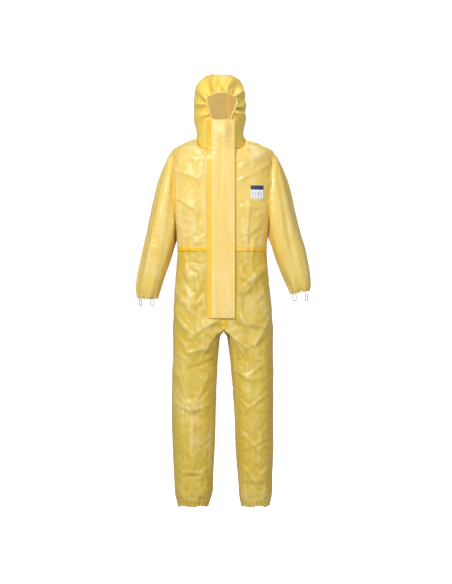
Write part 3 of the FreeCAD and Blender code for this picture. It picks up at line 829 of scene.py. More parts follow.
def draw_gathers(p, quads, panel):
    """Gathers beside the ankles, the cuffs, the face opening and the back of the waist. The sharp crests, the
    flat planes and the hollow behind the zip are added here too."""
    normal = mesh_normals(p, quads)
    x, y, z = p.T
    push, lift = np.zeros(len(p)), np.zeros(len(p))
    for side, phase in (("right", 0.4), ("left", 2.1)):
        here = points_of(quads, panel, "trouser_" + side, len(p)) & (z < 160)
        turn = leg_turn(x[here], y[here], z[here], side)
        wave = gather(turn, ANKLE_WAVES, phase)
        long_wave = np.sin(8 * turn + phase + z[here] / 60)
        push[here] += 2.6 * wave * np.exp(-z[here] / 28) + 2.4 * long_wave * np.exp(-z[here] / 70)
        lift[here] += (2.0 * (1 + wave) + 2.4 * (1 + np.sin(5 * turn + phase))) * np.exp(-z[here] / 14)

        middle, half, depth, across = cuff_frame(side)
        here = points_of(quads, panel, "sleeve_" + side, len(p))
        dx, dz = x[here] - middle[0], z[here] - middle[1]
        along = np.abs(dz * across[0] - dx * across[1])      # up the sleeve from its hem
        turn = np.arctan2(y[here] / depth, (dx * across[0] + dz * across[1]) / half)
        wave = gather(turn, CUFF_WAVES, phase)
        long_wave = np.sin(7 * turn + phase + along / 50)
        push[here] += 3.0 * wave * np.exp(-along / 22) + 3.2 * long_wave * np.exp(-along / 70)
        lift[here] += 1.8 * (1 + wave) * np.exp(-along / 7)

    # The face opening.
    here = points_of(quads, panel, "hood", len(p)) & (y < 20)
    angle, out = from_face(x[here], z[here])
    upper = smooth_step((z[here] - 1560) / 30)
    push[here] += 2.8 * gather(angle, FACE_WAVES, 1.0) * np.exp(-np.abs(out) / 22) * upper

    # The sharp crests of the drawn folds, which only the finer mesh can hold.
    here = ~points_of(quads, panel, "sleeve", len(p)) & ~points_of(quads, panel, "hood", len(p))
    free = 1 - under_flap(p[here])
    for strokes, facing in ((STROKES, -1), (BACK_STROKES, 1)):
        sharp = stroke_height(x[here], z[here], strokes, CREASE_WIDTH)
        push[here] += CREASE_SHARE * sharp * smooth_step(normal[here, 1] * facing * 1.6) * free

    # The back of the waist.
    here = points_of(quads, panel, "back", len(p)) | points_of(quads, panel, "trouser", len(p))
    turn = np.arctan2(y[here], x[here])
    band = np.exp(-((z[here] - Z_WAIST) / 24.0) ** 2) * smooth_step((y[here] + 40) / 60)
    push[here] += 1.9 * gather(turn, WAIST_WAVES, 0.3) * band - 3.0 * band
    push += draw_facets(p, quads, panel, normal)
    out = p + normal * push[:, None]
    here = y < -60
    out[here, 1] += zip_hollow(x[here], z[here])
    out[:, 2] = np.maximum(out[:, 2] + lift, 0.4)
    return out


def zip_hollow(x, z):
    """How far the front of the trousers gives way behind the zip, so that the slider runs free."""
    return np.where(z < Z_WAIST + 2, ZIP_HOLLOW * np.exp(-(x / 13.0) ** 4) * smooth_step((z - 745) / 20), 0)


def crest_of(p, quads, normal):
    """How far each point stands above (+) or below (-) its surroundings, in millimetres, blurred."""
    a = np.concatenate([quads[:, k] for k in range(4)])
    b = np.concatenate([quads[:, (k + 1) % 4] for k in range(4)])
    count = np.maximum(np.bincount(a, minlength=len(p)) + np.bincount(b, minlength=len(p)), 1)

    def blur(values, rounds):
        for _ in range(rounds):
            total = np.bincount(a, values[b], len(p)) + np.bincount(b, values[a], len(p))
            values = 0.4 * values + 0.6 * total / count
        return values

    wide = np.stack([blur(p[:, k], 14) for k in range(3)], -1)
    near = np.stack([blur(p[:, k], 2) for k in range(3)], -1)
    return blur(((near - wide) * normal).sum(1), 2)


def under_flap(p):
    """1 where the film lies flat under the outer flap and its seam, 0 away from it."""
    x, y, z = p.T
    beside = smooth_step((88.0 - np.abs(x + 6.0)) / 26.0)
    return np.where(y < -60, beside, 0) * smooth_step((z - 750.0) / 30.0) * smooth_step((1580.0 - z) / 12.0)


class Garment:
    """The finished film surface, with its normals, fold heights and a way to look up its front."""

    def __init__(self):
        p, quads, panel, tape, pin = build_garment()
        pin = np.maximum(pin, under_flap(p))
        p = draw_folds(p, quads, panel, 1 - pin)
        hold = np.where(points_of(quads, panel, "sleeve", len(p)), SLEEVE_HOLD, SOFT_HOLD)
        hold = np.where(points_of(quads, panel, "hood", len(p)), HOOD_HOLD, hold)
        hold = np.where((p[:, 2] > CHEST_Z) & (p[:, 1] < 0), np.maximum(hold, CHEST_HOLD), hold)
        # Where the surface turns away at the sides it stays put, so the outline is clean.
        edge_on = smooth_step((np.abs(mesh_normals(p, quads)[:, 0]) - 0.55) / 0.4)
        p = crumple(p, quads, np.maximum(pin, np.maximum(hold, OUTLINE_HOLD * edge_on)))
        p, quads, panel, tape = subdivided(p, quads, panel, tape)
        p = draw_gathers(p, quads, panel)
        self.p, self.quads, self.panel, self.tape = p, quads, panel, tape
        self.normal = mesh_normals(p, quads)
        self.crest = crest_of(p, quads, self.normal)
        self.tree = BVHTree.FromPolygons(p.tolist(), quads.tolist())

    def front(self, x, z):
        """The y of the film's front at x and z. The gap and the hollow behind the zip are bridged."""
        y = np.full(x.shape, np.nan)
        for index in np.ndindex(x.shape):
            hit = self.tree.ray_cast(Vector((x[index], -400, z[index])), Vector((0, 1, 0)))[0]
            if hit is not None and hit.y < -40:
                y[index] = hit.y
        for row in range(len(y)):
            known = ~np.isnan(y[row])
            if known.any():
                y[row] = np.interp(x[row], x[row][known], y[row][known])
            else:
                y[row] = FRONT_Y
        return y - zip_hollow(x, z)


# == Making pieces ==
def piece_from(name, points, faces, slots, materials, crest=None):
    """A mesh object whose points also hold their place at rest, for the materials to read."""
    obj = mesh_object(name, points, faces)
    mesh = obj.data
    for material in materials:
        mesh.materials.append(material)
    mesh.polygons.foreach_set("material_index", np.asarray(slots, np.int32))
    mesh.polygons.foreach_set("use_smooth", np.ones(len(mesh.polygons), bool))
    rest = mesh.attributes.new("rest", "FLOAT_VECTOR", "POINT")
    rest.data.foreach_set("vector", (np.asarray(points) * MM).astype(np.float32).ravel())
    # The film materials paint the crest into the colour, as highlight on crests and shade in hollows.
    crest = np.zeros(len(points)) if crest is None else crest
    mesh.attributes.new("crest", "FLOAT", "POINT").data.foreach_set("value", crest.astype(np.float32))
    mesh.update()
    return obj


def two_sided(p, normal, faces, lift, thickness):
    """A closed shell: the surface raised by lift, the same surface below it, and the rim between them."""
    used, faces = np.unique(faces, return_inverse=True)
    faces = faces.reshape(-1, 4)
    top = p[used] + normal[used] * lift
    under = top - normal[used] * thickness
    count = len(used)
    edges = {}
    for f in faces:
        for k in range(4):
            a, b = int(f[k]), int(f[(k + 1) % 4])
            if a != b and edges.pop((b, a), None) is None:
                edges[(a, b)] = True
    rim = [(a, a + count, b + count, b) for a, b in edges]
    shell = np.concatenate([faces, faces[:, ::-1] + count, np.array(rim, int).reshape(-1, 4)])
    slots = np.concatenate([np.zeros(len(faces), int), np.ones(len(faces) + len(rim), int)])
    return np.concatenate([top, under]), shell, slots, used


def shell_piece(name, garment, chosen, materials, lift=0.0, thickness=0.8):
    points, faces, slots, used = two_sided(garment.p, garment.normal, garment.quads[chosen], lift, thickness)
    crest = np.tile(garment.crest[used], 2)
    return piece_from(name, points, faces, slots, materials, crest)


def grid_faces(rows, columns, close=False):
    r, c = np.meshgrid(np.arange(rows - 1), np.arange(columns if close else columns - 1), indexing="ij")
    r, c = r.ravel(), c.ravel()
    d = (c + 1) % columns
    return np.stack([r * columns + c, r * columns + d, (r + 1) * columns + d, (r + 1) * columns + c], -1)


def grid_piece(name, p, materials, thickness, lift=0.0, close=False, crest_scale=0.0):
    """A two-sided piece from a grid of points (rows, columns, 3) wound to face outwards."""
    rows, columns = p.shape[:2]
    flat = p.reshape(-1, 3)
    faces = grid_faces(rows, columns, close)
    normal = mesh_normals(flat, faces)
    points, shell, slots, used = two_sided(flat, normal, faces, lift, thickness)
    # crest_scale sets how strongly these folds are painted as highlight and shade.
    crest = np.tile(crest_of(flat, faces, normal)[used], 2) * crest_scale
    return piece_from(name, points, shell, slots, materials, crest)


def band_piece(name, centre, across, up, half, depth, height, waves, swell, materials, thickness=1.6):
    """An elastic in its casing: a closed gathered band round a middle, with its upright direction up."""
    turn = np.linspace(0, 2 * math.pi, waves * 8 + 1)[:-1]
    levels = np.linspace(0, 1, 9)
    bulge = np.sin(math.pi * levels)[:, None]
    wave = gather(turn, waves, 0.8)[None, :]
    reach = 1 + (swell * wave * (0.4 + 0.6 * bulge) + 0.5 * bulge) / half
    p = (
        np.asarray(centre) + np.asarray(across) * (half * np.cos(turn) * reach)[..., None]
        + np.array([0, 1.0, 0]) * (depth * np.sin(turn) * reach)[..., None]
        + np.asarray(up) * (height * levels)[:, None, None]
    )
    return grid_piece(name, p, materials, thickness, close=True, crest_scale=1.0)


# == Materials ==
class Shader:
    """A procedural material on one principled shader, built from the points' places at rest. A rigid one
    reads the object's own coordinates instead."""

    def __init__(self, name, rigid=False, **values):
        self.material = bpy.data.materials.new(name)
        self.material.use_nodes = True
        self.tree = self.material.node_tree
        self.out = self.tree.nodes["Principled BSDF"]
        for socket, value in values.items():
            self.out.inputs[socket.replace("_", " ")].default_value = value
        if rigid:
            self.rest = self.node("ShaderNodeTexCoord").outputs["Object"]
        else:
            self.rest = self.attribute("rest", "Vector")

    def node(self, kind, **settings):
        made = self.tree.nodes.new(kind)
        for key, value in settings.items():
            setattr(made, key, value)
        return made

    def link(self, a, b):
        self.tree.links.new(a, b)

    def attribute(self, name, output):
        return self.node("ShaderNodeAttribute", attribute_name=name).outputs[output]

    def noise(self, scale, detail=3.0, rough=0.5, stretch=(1, 1, 1), distort=0.0, kind="FBM"):
        mapping = self.node("ShaderNodeMapping")
        mapping.inputs["Scale"].default_value = stretch
        self.link(self.rest, mapping.inputs["Vector"])
        noise = self.node("ShaderNodeTexNoise", noise_type=kind)
        noise.inputs["Scale"].default_value = scale
        noise.inputs["Detail"].default_value = detail
        noise.inputs["Roughness"].default_value = rough
        noise.inputs["Distortion"].default_value = distort
        self.link(mapping.outputs[0], noise.inputs["Vector"])
        return noise.outputs["Fac"]

    def spread(self, value, low, high, to_low, to_high):
        made = self.node("ShaderNodeMapRange", interpolation_type="SMOOTHSTEP")
        for socket, number in zip(("From Min", "From Max", "To Min", "To Max"), (low, high, to_low, to_high)):
            made.inputs[socket].default_value = number
        self.link(value, made.inputs["Value"])
        return made.outputs[0]

    def mix(self, factor, a, b):
        made = self.node("ShaderNodeMix", data_type="RGBA")
        self.link(factor, made.inputs["Factor"])
        for socket, value in (("A", a), ("B", b)):
            target = [i for i in made.inputs if i.name == socket and i.type == "RGBA"][0]
            if hasattr(value, "is_linked"):
                self.link(value, target)
            else:
                target.default_value = (*value, 1)
        return [o for o in made.outputs if o.type == "RGBA"][0]

    def add(self, a, b, operation="ADD"):
        made = self.node("ShaderNodeMath", operation=operation)
        for socket, value in zip(made.inputs, (a, b)):
            if hasattr(value, "is_linked"):
                self.link(value, socket)
            else:
                socket.default_value = value
        return made.outputs[0]

    def bump(self, height, strength, distance):
        made = self.node("ShaderNodeBump")
        made.inputs["Strength"].default_value = strength
        made.inputs["Distance"].default_value = distance
        self.link(height, made.inputs["Height"])
        self.link(made.outputs[0], self.out.inputs["Normal"])

    def colour(self, value):
        self.link(value, self.out.inputs["Base Color"])

    def roughness(self, value):
        self.link(value, self.out.inputs["Roughness"])


def film(name, base, deep, painted_highlight, glow=0.1, painted_glow=0.0):
    """Coated nonwoven film: waxy sheen and an embossed grain, with painted light in its colour: a painted
    highlight on the crests, painted shade in the folds, and paler clouds and vertical streaks of painted
    sheen.
    """
    s = Shader(name, Coat_Weight=0.14, Coat_Roughness=0.3, Subsurface_Weight=glow, Subsurface_Scale=0.004,
               Specular_IOR_Level=0.4)
    s.out.inputs["Subsurface Radius"].default_value = (1.0, 0.75, 0.3)
    # An emission in the base colour: a painted glow, off unless a strength is given.
    s.out.inputs["Emission Color"].default_value = (*base, 1)
    s.out.inputs["Emission Strength"].default_value = painted_glow
    crest = s.attribute("crest", "Fac")
    cloud = s.noise(7.0, 4.0, 0.55)
    streak = s.noise(30.0, 3.0, 0.55, (1, 1, 0.13), 0.5)
    # patch: where the colour turns to the painted highlight colour, on the crests, with paler clouds and
    # vertical streaks of painted sheen.
    patch = s.add(s.spread(crest, 0.3, 2.8, 0.0, 0.6), s.spread(cloud, 0.5, 0.72, 0.0, 0.3))
    patch = s.add(patch, s.spread(streak, 0.5, 0.75, 0.0, 0.5))
    # low: the base colour darkened towards deep in the hollows, as painted shade.
    low = s.mix(s.spread(crest, -2.4, -0.1, 1.0, 0.0), base, deep)
    fibre = s.noise(420.0, 2.0, 0.6, (1, 1, 0.22))
    s.colour(s.mix(s.spread(fibre, 0.35, 0.75, 0.0, 0.16), s.mix(patch, low, painted_highlight), deep))
    s.roughness(s.spread(cloud, 0.3, 0.7, 0.34, 0.48))
    crinkle = s.noise(95.0, 4.0, 0.62, distort=0.6)
    creases = s.add(s.noise(16.0, 3.0, 0.55, (1, 1, 0.55), 0.4, "RIDGED_MULTIFRACTAL"), 2.4, "MULTIPLY")
    s.bump(s.add(creases, s.add(crinkle, s.add(fibre, 0.25, "MULTIPLY"))), 0.32, 0.0009)
    return s.material


def tape(name, base, deep):
    """Heat-sealed tape: smoother and deeper in colour than the film, with a faint pressed pattern."""
    s = Shader(name, Coat_Weight=0.35, Coat_Roughness=0.2, Specular_IOR_Level=0.5)
    cloud = s.noise(26.0, 3.0, 0.5)
    s.colour(s.mix(s.spread(cloud, 0.3, 0.7, 0.0, 1.0), base, deep))
    s.roughness(s.spread(cloud, 0.3, 0.7, 0.3, 0.42))
    s.bump(s.noise(160.0, 3.0, 0.6), 0.25, 0.0006)
    return s.material


def woven(name, base, deep, rough=0.8, rigid=False):
    """Elastic, zip tape or cord: fine ribs across and along."""
    s = Shader(name, rigid, Sheen_Weight=0.3, Specular_IOR_Level=0.3)
    ribs = s.noise(900.0, 1.0, 0.4, (1, 1, 0.18))
    rows = s.noise(700.0, 1.0, 0.4, (0.2, 0.2, 1))
    weave = s.add(ribs, rows, "MULTIPLY")
    s.colour(s.mix(s.spread(weave, 0.15, 0.4, 0.0, 1.0), deep, base))
    s.roughness(s.spread(s.noise(60.0), 0.3, 0.7, rough - 0.06, rough + 0.08))
    s.bump(weave, 0.5, 0.0006)
    return s.material


def plastic(name, base, deep, rough=0.38, rigid=False):
    s = Shader(name, rigid, Coat_Weight=0.15, Coat_Roughness=0.25)
    cloud = s.noise(60.0, 3.0)
    s.colour(s.mix(s.spread(cloud, 0.35, 0.7, 0.0, 1.0), base, deep))
    s.roughness(s.spread(cloud, 0.3, 0.7, rough - 0.05, rough + 0.1))
    s.bump(s.noise(500.0, 2.0), 0.15, 0.0003)
    return s.material


def metal(name, base, rough=0.3):
    s = Shader(name, True, Metallic=1.0)
    grain = s.noise(380.0, 3.0, 0.6, (1, 1, 0.15))
    s.colour(s.mix(s.spread(grain, 0.3, 0.7, 0.0, 1.0), base, tuple(0.75 * c for c in base)))
    s.roughness(s.spread(grain, 0.3, 0.7, rough - 0.06, rough + 0.12))
    s.bump(grain, 0.15, 0.0003)
    return s.material


def label_print(name, low, high):
    """A generic label: a dark blue head over white, with plain grey bars where print would be."""
    s = Shader(name, Coat_Weight=0.05, Coat_Roughness=0.3)
    split = s.node("ShaderNodeSeparateXYZ")
    s.link(s.rest, split.inputs[0])
    x, z = split.outputs["X"], split.outputs["Z"]
    width, height = high[0] - low[0], high[2] - low[2]

    def band(value, start, end):
        return s.add(s.add(value, start, "GREATER_THAN"), s.add(value, end, "LESS_THAN"), "MULTIPLY")

    bars = None
    for k in range(4):
        left = low[0] + width * (0.1 + 0.215 * k)
        column = s.add(band(x, left, left + width * 0.11),
                       band(z, low[2] + height * 0.1, low[2] + height * 0.56), "MULTIPLY")
        bars = column if bars is None else s.add(bars, column)
    dashes = s.add(s.spread(s.noise(330.0, 1.0, 0.5, (0.5, 1, 1)), 0.42, 0.55, 0.0, 1.0), bars, "MULTIPLY")
    paper = s.mix(s.spread(s.noise(50.0), 0.3, 0.7, 0.0, 1.0), (0.86, 0.87, 0.88), (0.78, 0.8, 0.82))
    printed = s.mix(s.add(dashes, 0.7, "MULTIPLY"), paper, (0.25, 0.27, 0.31))
    s.colour(s.mix(s.add(z, low[2] + height * 0.68, "GREATER_THAN"), printed, (0.006, 0.022, 0.085)))
    s.roughness(s.spread(s.noise(80.0), 0.3, 0.7, 0.38, 0.5))
    s.bump(s.noise(500.0), 0.1, 0.0003)
    return s.material


def stage_paint():
    s = Shader("stage_paint", True, Specular_IOR_Level=0.1)
    s.colour(s.mix(s.noise(2.0), (0.93, 0.93, 0.93), (0.9, 0.9, 0.9)))
    s.out.inputs["Roughness"].default_value = 0.85
    s.out.inputs["Emission Color"].default_value = (1, 1, 1, 1)
    s.out.inputs["Emission Strength"].default_value = 0.9
    return s.material


MATERIALS = {
    # The upper and the lower film are brighter and darker copies of one film: the darker colours below the
    # waist are painted shade, for the weaker light on the legs.
    "upper": film("film_upper", (0.84, 0.61, 0.15), (0.72, 0.45, 0.05), (0.92, 0.79, 0.45)),
    "hood": film("film_hood", (0.90, 0.645, 0.105), (0.66, 0.38, 0.022), (0.92, 0.76, 0.32)),
    "lower": film("film_lower_painted_shade", (0.70, 0.50, 0.070), (0.45, 0.30, 0.020), (0.92, 0.80, 0.38)),
    "flap": film("film_flap", (0.91, 0.65, 0.20), (0.84, 0.52, 0.10), (0.94, 0.77, 0.38)),
    # The two inside films glow with their own base colour, a painted glow that stands in for light coming
    # through the film.
    "inside": film("film_inside", (0.71, 0.59, 0.30), (0.64, 0.52, 0.23), (0.76, 0.65, 0.40), 0.25, 0.27),
    "inside_seam": film("film_inside_seam", (0.86, 0.62, 0.33), (0.82, 0.56, 0.27), (0.88, 0.66, 0.40),
                        0.25, 0.29),
    "tape": tape("seam_tape", (0.90, 0.58, 0.041), (0.86, 0.50, 0.025)),
    "soft_tape": tape("seam_tape_soft", (0.86, 0.60, 0.090), (0.82, 0.53, 0.06)),
    "elastic": woven("elastic_casing", (0.84, 0.60, 0.16), (0.66, 0.42, 0.07)),
    "zip_tape": woven("zip_tape_weave", (0.82, 0.62, 0.14), (0.62, 0.42, 0.06), rigid=True),
    "zip_plastic": plastic("zip_coil_plastic", (0.80, 0.60, 0.12), (0.70, 0.50, 0.09)),
    "zip_metal": metal("zip_slider_metal", (0.62, 0.62, 0.60)),
    "liner": plastic("adhesive_liner", (0.82, 0.81, 0.76), (0.74, 0.73, 0.67)),
    # The cord itself is white or light grey; its colour is set to a darker grey as painted shade, so that it
    # shows against the white.
    "loop": woven("loop_cord", (0.27, 0.27, 0.29), (0.15, 0.15, 0.17), rigid=True),
}


def follow(obj, part, side):
    """Bakes the piece's placement into its points."""
    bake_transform(obj)


def attach(obj, where, nodes=()):
    """where is a body's name, or (part, side) for a piece of a sleeve or a leg, whose placement is baked."""
    if isinstance(where, str):
        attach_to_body(obj, where)
    else:
        follow(obj, *where)
    if nodes:
        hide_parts(*nodes)


# Piece: panels, material, body or (part, side), CAD nodes, the cut's width and length, its share of that
# rectangle.
FILM_PIECES = [
    (f"hood_{place}_cloth", ["hood_" + place], "hood", "suit", [f"hood_{place}_panel"], flat, 0.75)
    for place, flat in (("centre", (0.085, 0.52)), ("right", (0.30, 0.36)), ("left", (0.30, 0.36)))
] + [
    (f"{side}_front_cloth", ["front_" + side], "upper", "suit", [side + "_front_panel"], (0.235, 0.46), 0.92)
    for side in SIDES
] + [("back_cloth", ["back"], "upper", "suit", ["back_panel"], (0.46, 0.50), 0.92)] + [
    (f"{side}_{word}_cloth", [f"{word}_{side}"], material, (part, side), [f"{side}_{n}_panel" for n in nodes],
     flat, share)
    for word, material, part, nodes, flat, share in (
        ("trouser", "lower", "leg", ("hip", "leg"), (0.66, 1.08), 0.83),
        ("sleeve", "upper", "sleeve", ("sleeve",), (0.42, 0.60), 0.77))
    for side in SIDES
]
# Piece: seam, body or (part, side), CAD nodes.
TAPE_PIECES = [
    ("waist_tape", "waist", "suit", ["waist_seam_tape"]),
    ("right_armhole_seam", "armhole_right", "suit", ["right_armhole_tape"]),
    ("left_armhole_seam", "armhole_left", "suit", ["left_armhole_tape"]),
    ("neck_seam", "neck", "suit", []),
    *((f"{name}_seam", name, "suit", [name + "_seam_tape"])
      for name in ("hood_right", "hood_left", "crotch", "seat")),
    *((f"{side}_inseam", "inseam_" + side, ("leg", side), [side + "_inseam_tape"])
      for side in SIDES),
    *((f"{side}_underarm_seam", "underarm_" + side, ("sleeve", side), [side + "_underarm_tape"])
      for side in SIDES),
]
FILM_THICK = 0.8
TAPE_TOP = 0.9        # height of a tape's outer face above the film
TAPE_THICK = 0.6


def make_film(garment):
    for name, panels, material, where, nodes, flat, share in FILM_PIECES:
        chosen = np.isin(garment.panel, [PANELS.index(n) for n in panels])
        obj = shell_piece(name, garment, chosen, [MATERIALS[material], MATERIALS["inside"]], 0.0, FILM_THICK)
        attach(obj, where, nodes)


def make_tapes(garment):
    for name, seam, where, nodes in TAPE_PIECES:
        chosen = garment.tape == TAPES.index(seam)
        paint = MATERIALS["soft_tape" if seam.startswith(("armhole", "neck", "hood")) else "tape"]
        obj = shell_piece(name, garment, chosen, [paint] * 2, TAPE_TOP, TAPE_THICK)
        attach(obj, where, nodes)
    # The hood's seams show on its inside too.
    for side, paint in (("right", "inside"), ("left", "inside_seam")):
        chosen = garment.tape == TAPES.index("hood_" + side)
        obj = shell_piece(f"hood_{side}_seam_allowance", garment, chosen, [MATERIALS[paint]] * 2,
                          -FILM_THICK - 0.1, TAPE_THICK)
        attach(obj, "suit")


def face_edge_points(garment, angles):
    """Points of the film's edge round the face opening, at angles round its middle."""
    a = garment.quads[:, (0, 1, 2, 3)].ravel()
    b = garment.quads[:, (1, 2, 3, 0)].ravel()
    pair = np.sort(np.stack([a, b], -1)[a != b], axis=1)
    edges, count = np.unique(pair, axis=0, return_counts=True)
    rim = np.unique(edges[count == 1])
    x, y, z = garment.p[rim].T
    angle, out = from_face(x, z)
    near = (y < 0) & (np.abs(out) < 10) & (z > 1550)
    order = np.argsort(angle[near])
    known = angle[near][order]
    found = garment.p[rim][near][order]
    return np.stack([np.interp(angles, known, found[:, k], period=2 * math.pi) for k in range(3)], -1)


def make_face_elastic(garment):
    """The gathered casing round the face: a soft tube along the film's edge."""
    turn = np.linspace(0, 2 * math.pi, 385)[:-1]
    edge = face_edge_points(garment, turn - math.pi)
    for _ in range(2):
        edge = (np.roll(edge, 1, 0) + 2 * edge + np.roll(edge, -1, 0)) / 4
    ahead = np.roll(edge, -1, 0) - np.roll(edge, 1, 0)
    ahead /= np.linalg.norm(ahead, axis=1, keepdims=True)
    outward = edge - np.array([FACE_MID[0], 0, FACE_MID[1]])
    outward[:, 1] = 0
    outward -= ahead * (outward * ahead).sum(1, keepdims=True)
    outward /= np.linalg.norm(outward, axis=1, keepdims=True)
    face = np.cross(outward, ahead)
    face *= -np.sign(face[:, 1:2])
    wave = gather(turn - math.pi, FACE_WAVES, 1.0)
    around = np.linspace(0, 2 * math.pi, 15)[:-1]
    wide = 3.0 + 0.5 * wave
    thick = 1.5 + 0.3 * wave
    p = (
        (edge + outward * (1.3 + 0.5 * wave)[:, None] + face * 0.2)[:, None, :]
        + outward[:, None, :] * (wide[:, None] * np.cos(around))[..., None]
        + face[:, None, :] * (thick[:, None] * np.sin(around))[..., None]
    )
    rows, columns = p.shape[:2]
    flat = p.reshape(-1, 3)
    faces = grid_faces(rows, columns, close=True)
    last = np.arange(columns)
    seam = np.stack([(rows - 1) * columns + last, (rows - 1) * columns + (last + 1) % columns,
                     (last + 1) % columns, last], -1)
    faces = np.concatenate([faces, seam])
    # Its crest, taken from the gathers, is painted into the film colour as highlight on each gather and shade
    # between them.
    obj = piece_from("face_elastic_casing", flat, facing_out(flat, faces), np.zeros(len(faces)),
                     [MATERIALS["upper"]], np.repeat(wave * 1.5, columns))
    attach(obj, "suit", ["face_elastic"])


def make_bands():
    """The elastics at the ankles, the cuffs and the waist, each in a gathered casing inside the hem."""
    x_axis, z_axis = np.array([1.0, 0, 0]), np.array([0, 0, 1.0])
    casing = [MATERIALS["elastic"]] * 2
    for side in SIDES:
        xc, half, depth = spline(LEGS[side], np.array([6.0]))[0][:3] - (0, 3.2, 3.2)
        centre = (xc, 0, 8.0)
        obj = band_piece(f"{side}_ankle_band", centre, x_axis, z_axis, half, depth, 13.0, ANKLE_WAVES, 1.6,
                         casing)
        attach(obj, side + "_leg", [side + "_ankle_elastic"])

        middle, half, depth, across = cuff_frame(side)
        along = np.array([across[0], 0, across[1]])
        up = np.array([-across[1], 0, across[0]]) * np.sign(across[0])
        obj = band_piece(f"{side}_cuff_band", (middle[0], 0, middle[1] + 5.0), along, up, half - 3.0,
                         depth - 3.0, 12.0, CUFF_WAVES, 1.4, casing)
        attach(obj, side + "_sleeve", [side + "_cuff_elastic"])
    xc, half, front = spline(TRUNK, np.array([Z_WAIST]))[0][:3]
    obj = band_piece("waist_band", (xc, 0, Z_WAIST - 9), x_axis, z_axis, half - 7, front - 9, 18.0,
                     WAIST_WAVES, 1.2, casing)
    attach(obj, "suit", ["waist_elastic"])


# == The flaps, the zip, the label and the finger loops ==
FLAP_X = (-46.0, 50.0)
FLAP_Z = (767.0, 1569.0)
FLAP_GAP = 4.6        # from the film to the flap's inner face
FLAP_CREST = 1.6      # how strongly its folds show in its colour, as painted highlight on the crests and painted shade in the hollows
HEM_X = 38.0
STRIP_X, STRIP_Z = (25.0, 36.5), (775.0, 1509.0)
SEAM_X = (-63.0, -44.5)


def blurred(values, rows, columns):
    """A grid of numbers averaged over a few rows and columns."""
    for axis, reach in ((0, rows), (1, columns)):
        weights = np.exp(-0.5 * (np.arange(-2 * reach, 2 * reach + 1) / reach) ** 2)
        padding = [(0, 0), (0, 0)]
        padding[axis] = (2 * reach, 2 * reach)
        wide = np.pad(values, padding, mode="edge")
        values = np.apply_along_axis(lambda v: np.convolve(v, weights / weights.sum(), "valid"), axis, wide)
    return values


def front_grid(x_range, z_range, step):
    """x and z of a grid, its rows going up and its columns towards the wearer's left."""
    x = np.linspace(*x_range, max(int((x_range[1] - x_range[0]) / step), 2) + 1)
    z = np.linspace(*z_range, max(int((z_range[1] - z_range[0]) / step), 2) + 1)
    return np.meshgrid(x, z)


def flap_points(garment, x, z):
    """Points of the flap's inner face: it lies on the zip and the film, with soft lengthwise folds."""
    film = garment.front(x, z)
    y = np.minimum(blurred(film, 6, 5) - FLAP_GAP, film - 2.4)
    over_slider = np.exp(-((z - 1520) / 32.0) ** 2 - (x / 20.0) ** 2)
    y += (np.minimum(y, -129.0) - y) * over_slider
    across = smooth_step((x - FLAP_X[0]) / 14.0)
    folds = 1.5 * np.sin(x / 8.5 + 0.7 * np.sin(z / 130)) + 0.9 * np.sin(x / 4.6 - 1.2 * np.sin(z / 210) + 1)
    neck = np.exp(-((z - 1464) / 26.0) ** 2)
    tucks = 1.5 * np.sin((z + 0.3 * x) / 3.3 + 1.5 * np.sin(x / 15)) * neck
    flare = 2.2 * smooth_step((x - 24) / 26) * (0.6 + 0.4 * np.sin(z / 74.0 + 1))
    y -= across * (1.6 + folds * (0.55 + 0.45 * np.sin(z / 97.0)) + tucks + flare)
    return np.stack([x, y, z], -1)


def make_flaps(garment):
    x, z = front_grid(FLAP_X, FLAP_Z, 3.0)
    p = flap_points(garment, x, z)
    paint = MATERIALS["flap"]
    obj = grid_piece("outer_flap_cloth", p, [paint, MATERIALS["inside"]], 0.9, 0.9, crest_scale=FLAP_CREST)
    bend_flap(obj, ["outer_flap"])

    # The hem and the strip follow the flap's own grid, the hem a little past its edges.
    hem = p[:, x[0] > HEM_X - 1].copy()
    hem[:, -1, 0] += 0.6
    hem[0, :, 2] -= 0.6
    hem[-1, :, 2] += 0.6
    obj = grid_piece("flap_hem", hem, [paint] * 2, 2.6, 1.7, crest_scale=FLAP_CREST)
    attach(obj, "flap", ["flap_edge_hem"])

    strip = p[(z[:, 0] > STRIP_Z[0]) & (z[:, 0] < STRIP_Z[1])][:, (x[0] > STRIP_X[0]) & (x[0] < STRIP_X[1])]
    obj = grid_piece("adhesive_liner_strip", strip, [MATERIALS["liner"]] * 2, 0.35, -0.7)
    attach(obj, "flap", ["flap_adhesive_strip"])

    x, z = front_grid(SEAM_X, FLAP_Z, 3.0)
    film = garment.front(x, z)
    y = np.minimum(blurred(film, 12, 3) - 1.6, film - 0.7)
    y -= 3.0 * smooth_step((x - SEAM_X[0]) / (SEAM_X[1] - SEAM_X[0]))
    obj = grid_piece("flap_seam", np.stack([x, y, z], -1), [MATERIALS["tape"]] * 2, 0.7, 0.2, crest_scale=1.0)
    attach(obj, "suit", ["flap_seam_tape"])

    for node in ("inner_flap", "chin_guard"):
        low, high = (np.array(v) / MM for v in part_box(node))
        x, z = front_grid((low[0], high[0]), (low[2], high[2]), 3.5)
        y = (low[1] + high[1]) / 2 + 1.0 * np.sin(x / 7 + z / 60) + 0.7 * np.sin(z / 23 + x / 11)
        obj = grid_piece(node + "_cloth", np.stack([x, y, z], -1), [MATERIALS["upper"], MATERIALS["inside"]],
                         0.8, 0.4, crest_scale=1.0)
        attach(obj, "suit", [node])


def bend_flap(obj, nodes):
    """Bakes the flap's placement into its points and hides the CAD nodes it replaces."""
    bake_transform(obj)
    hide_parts(*nodes)


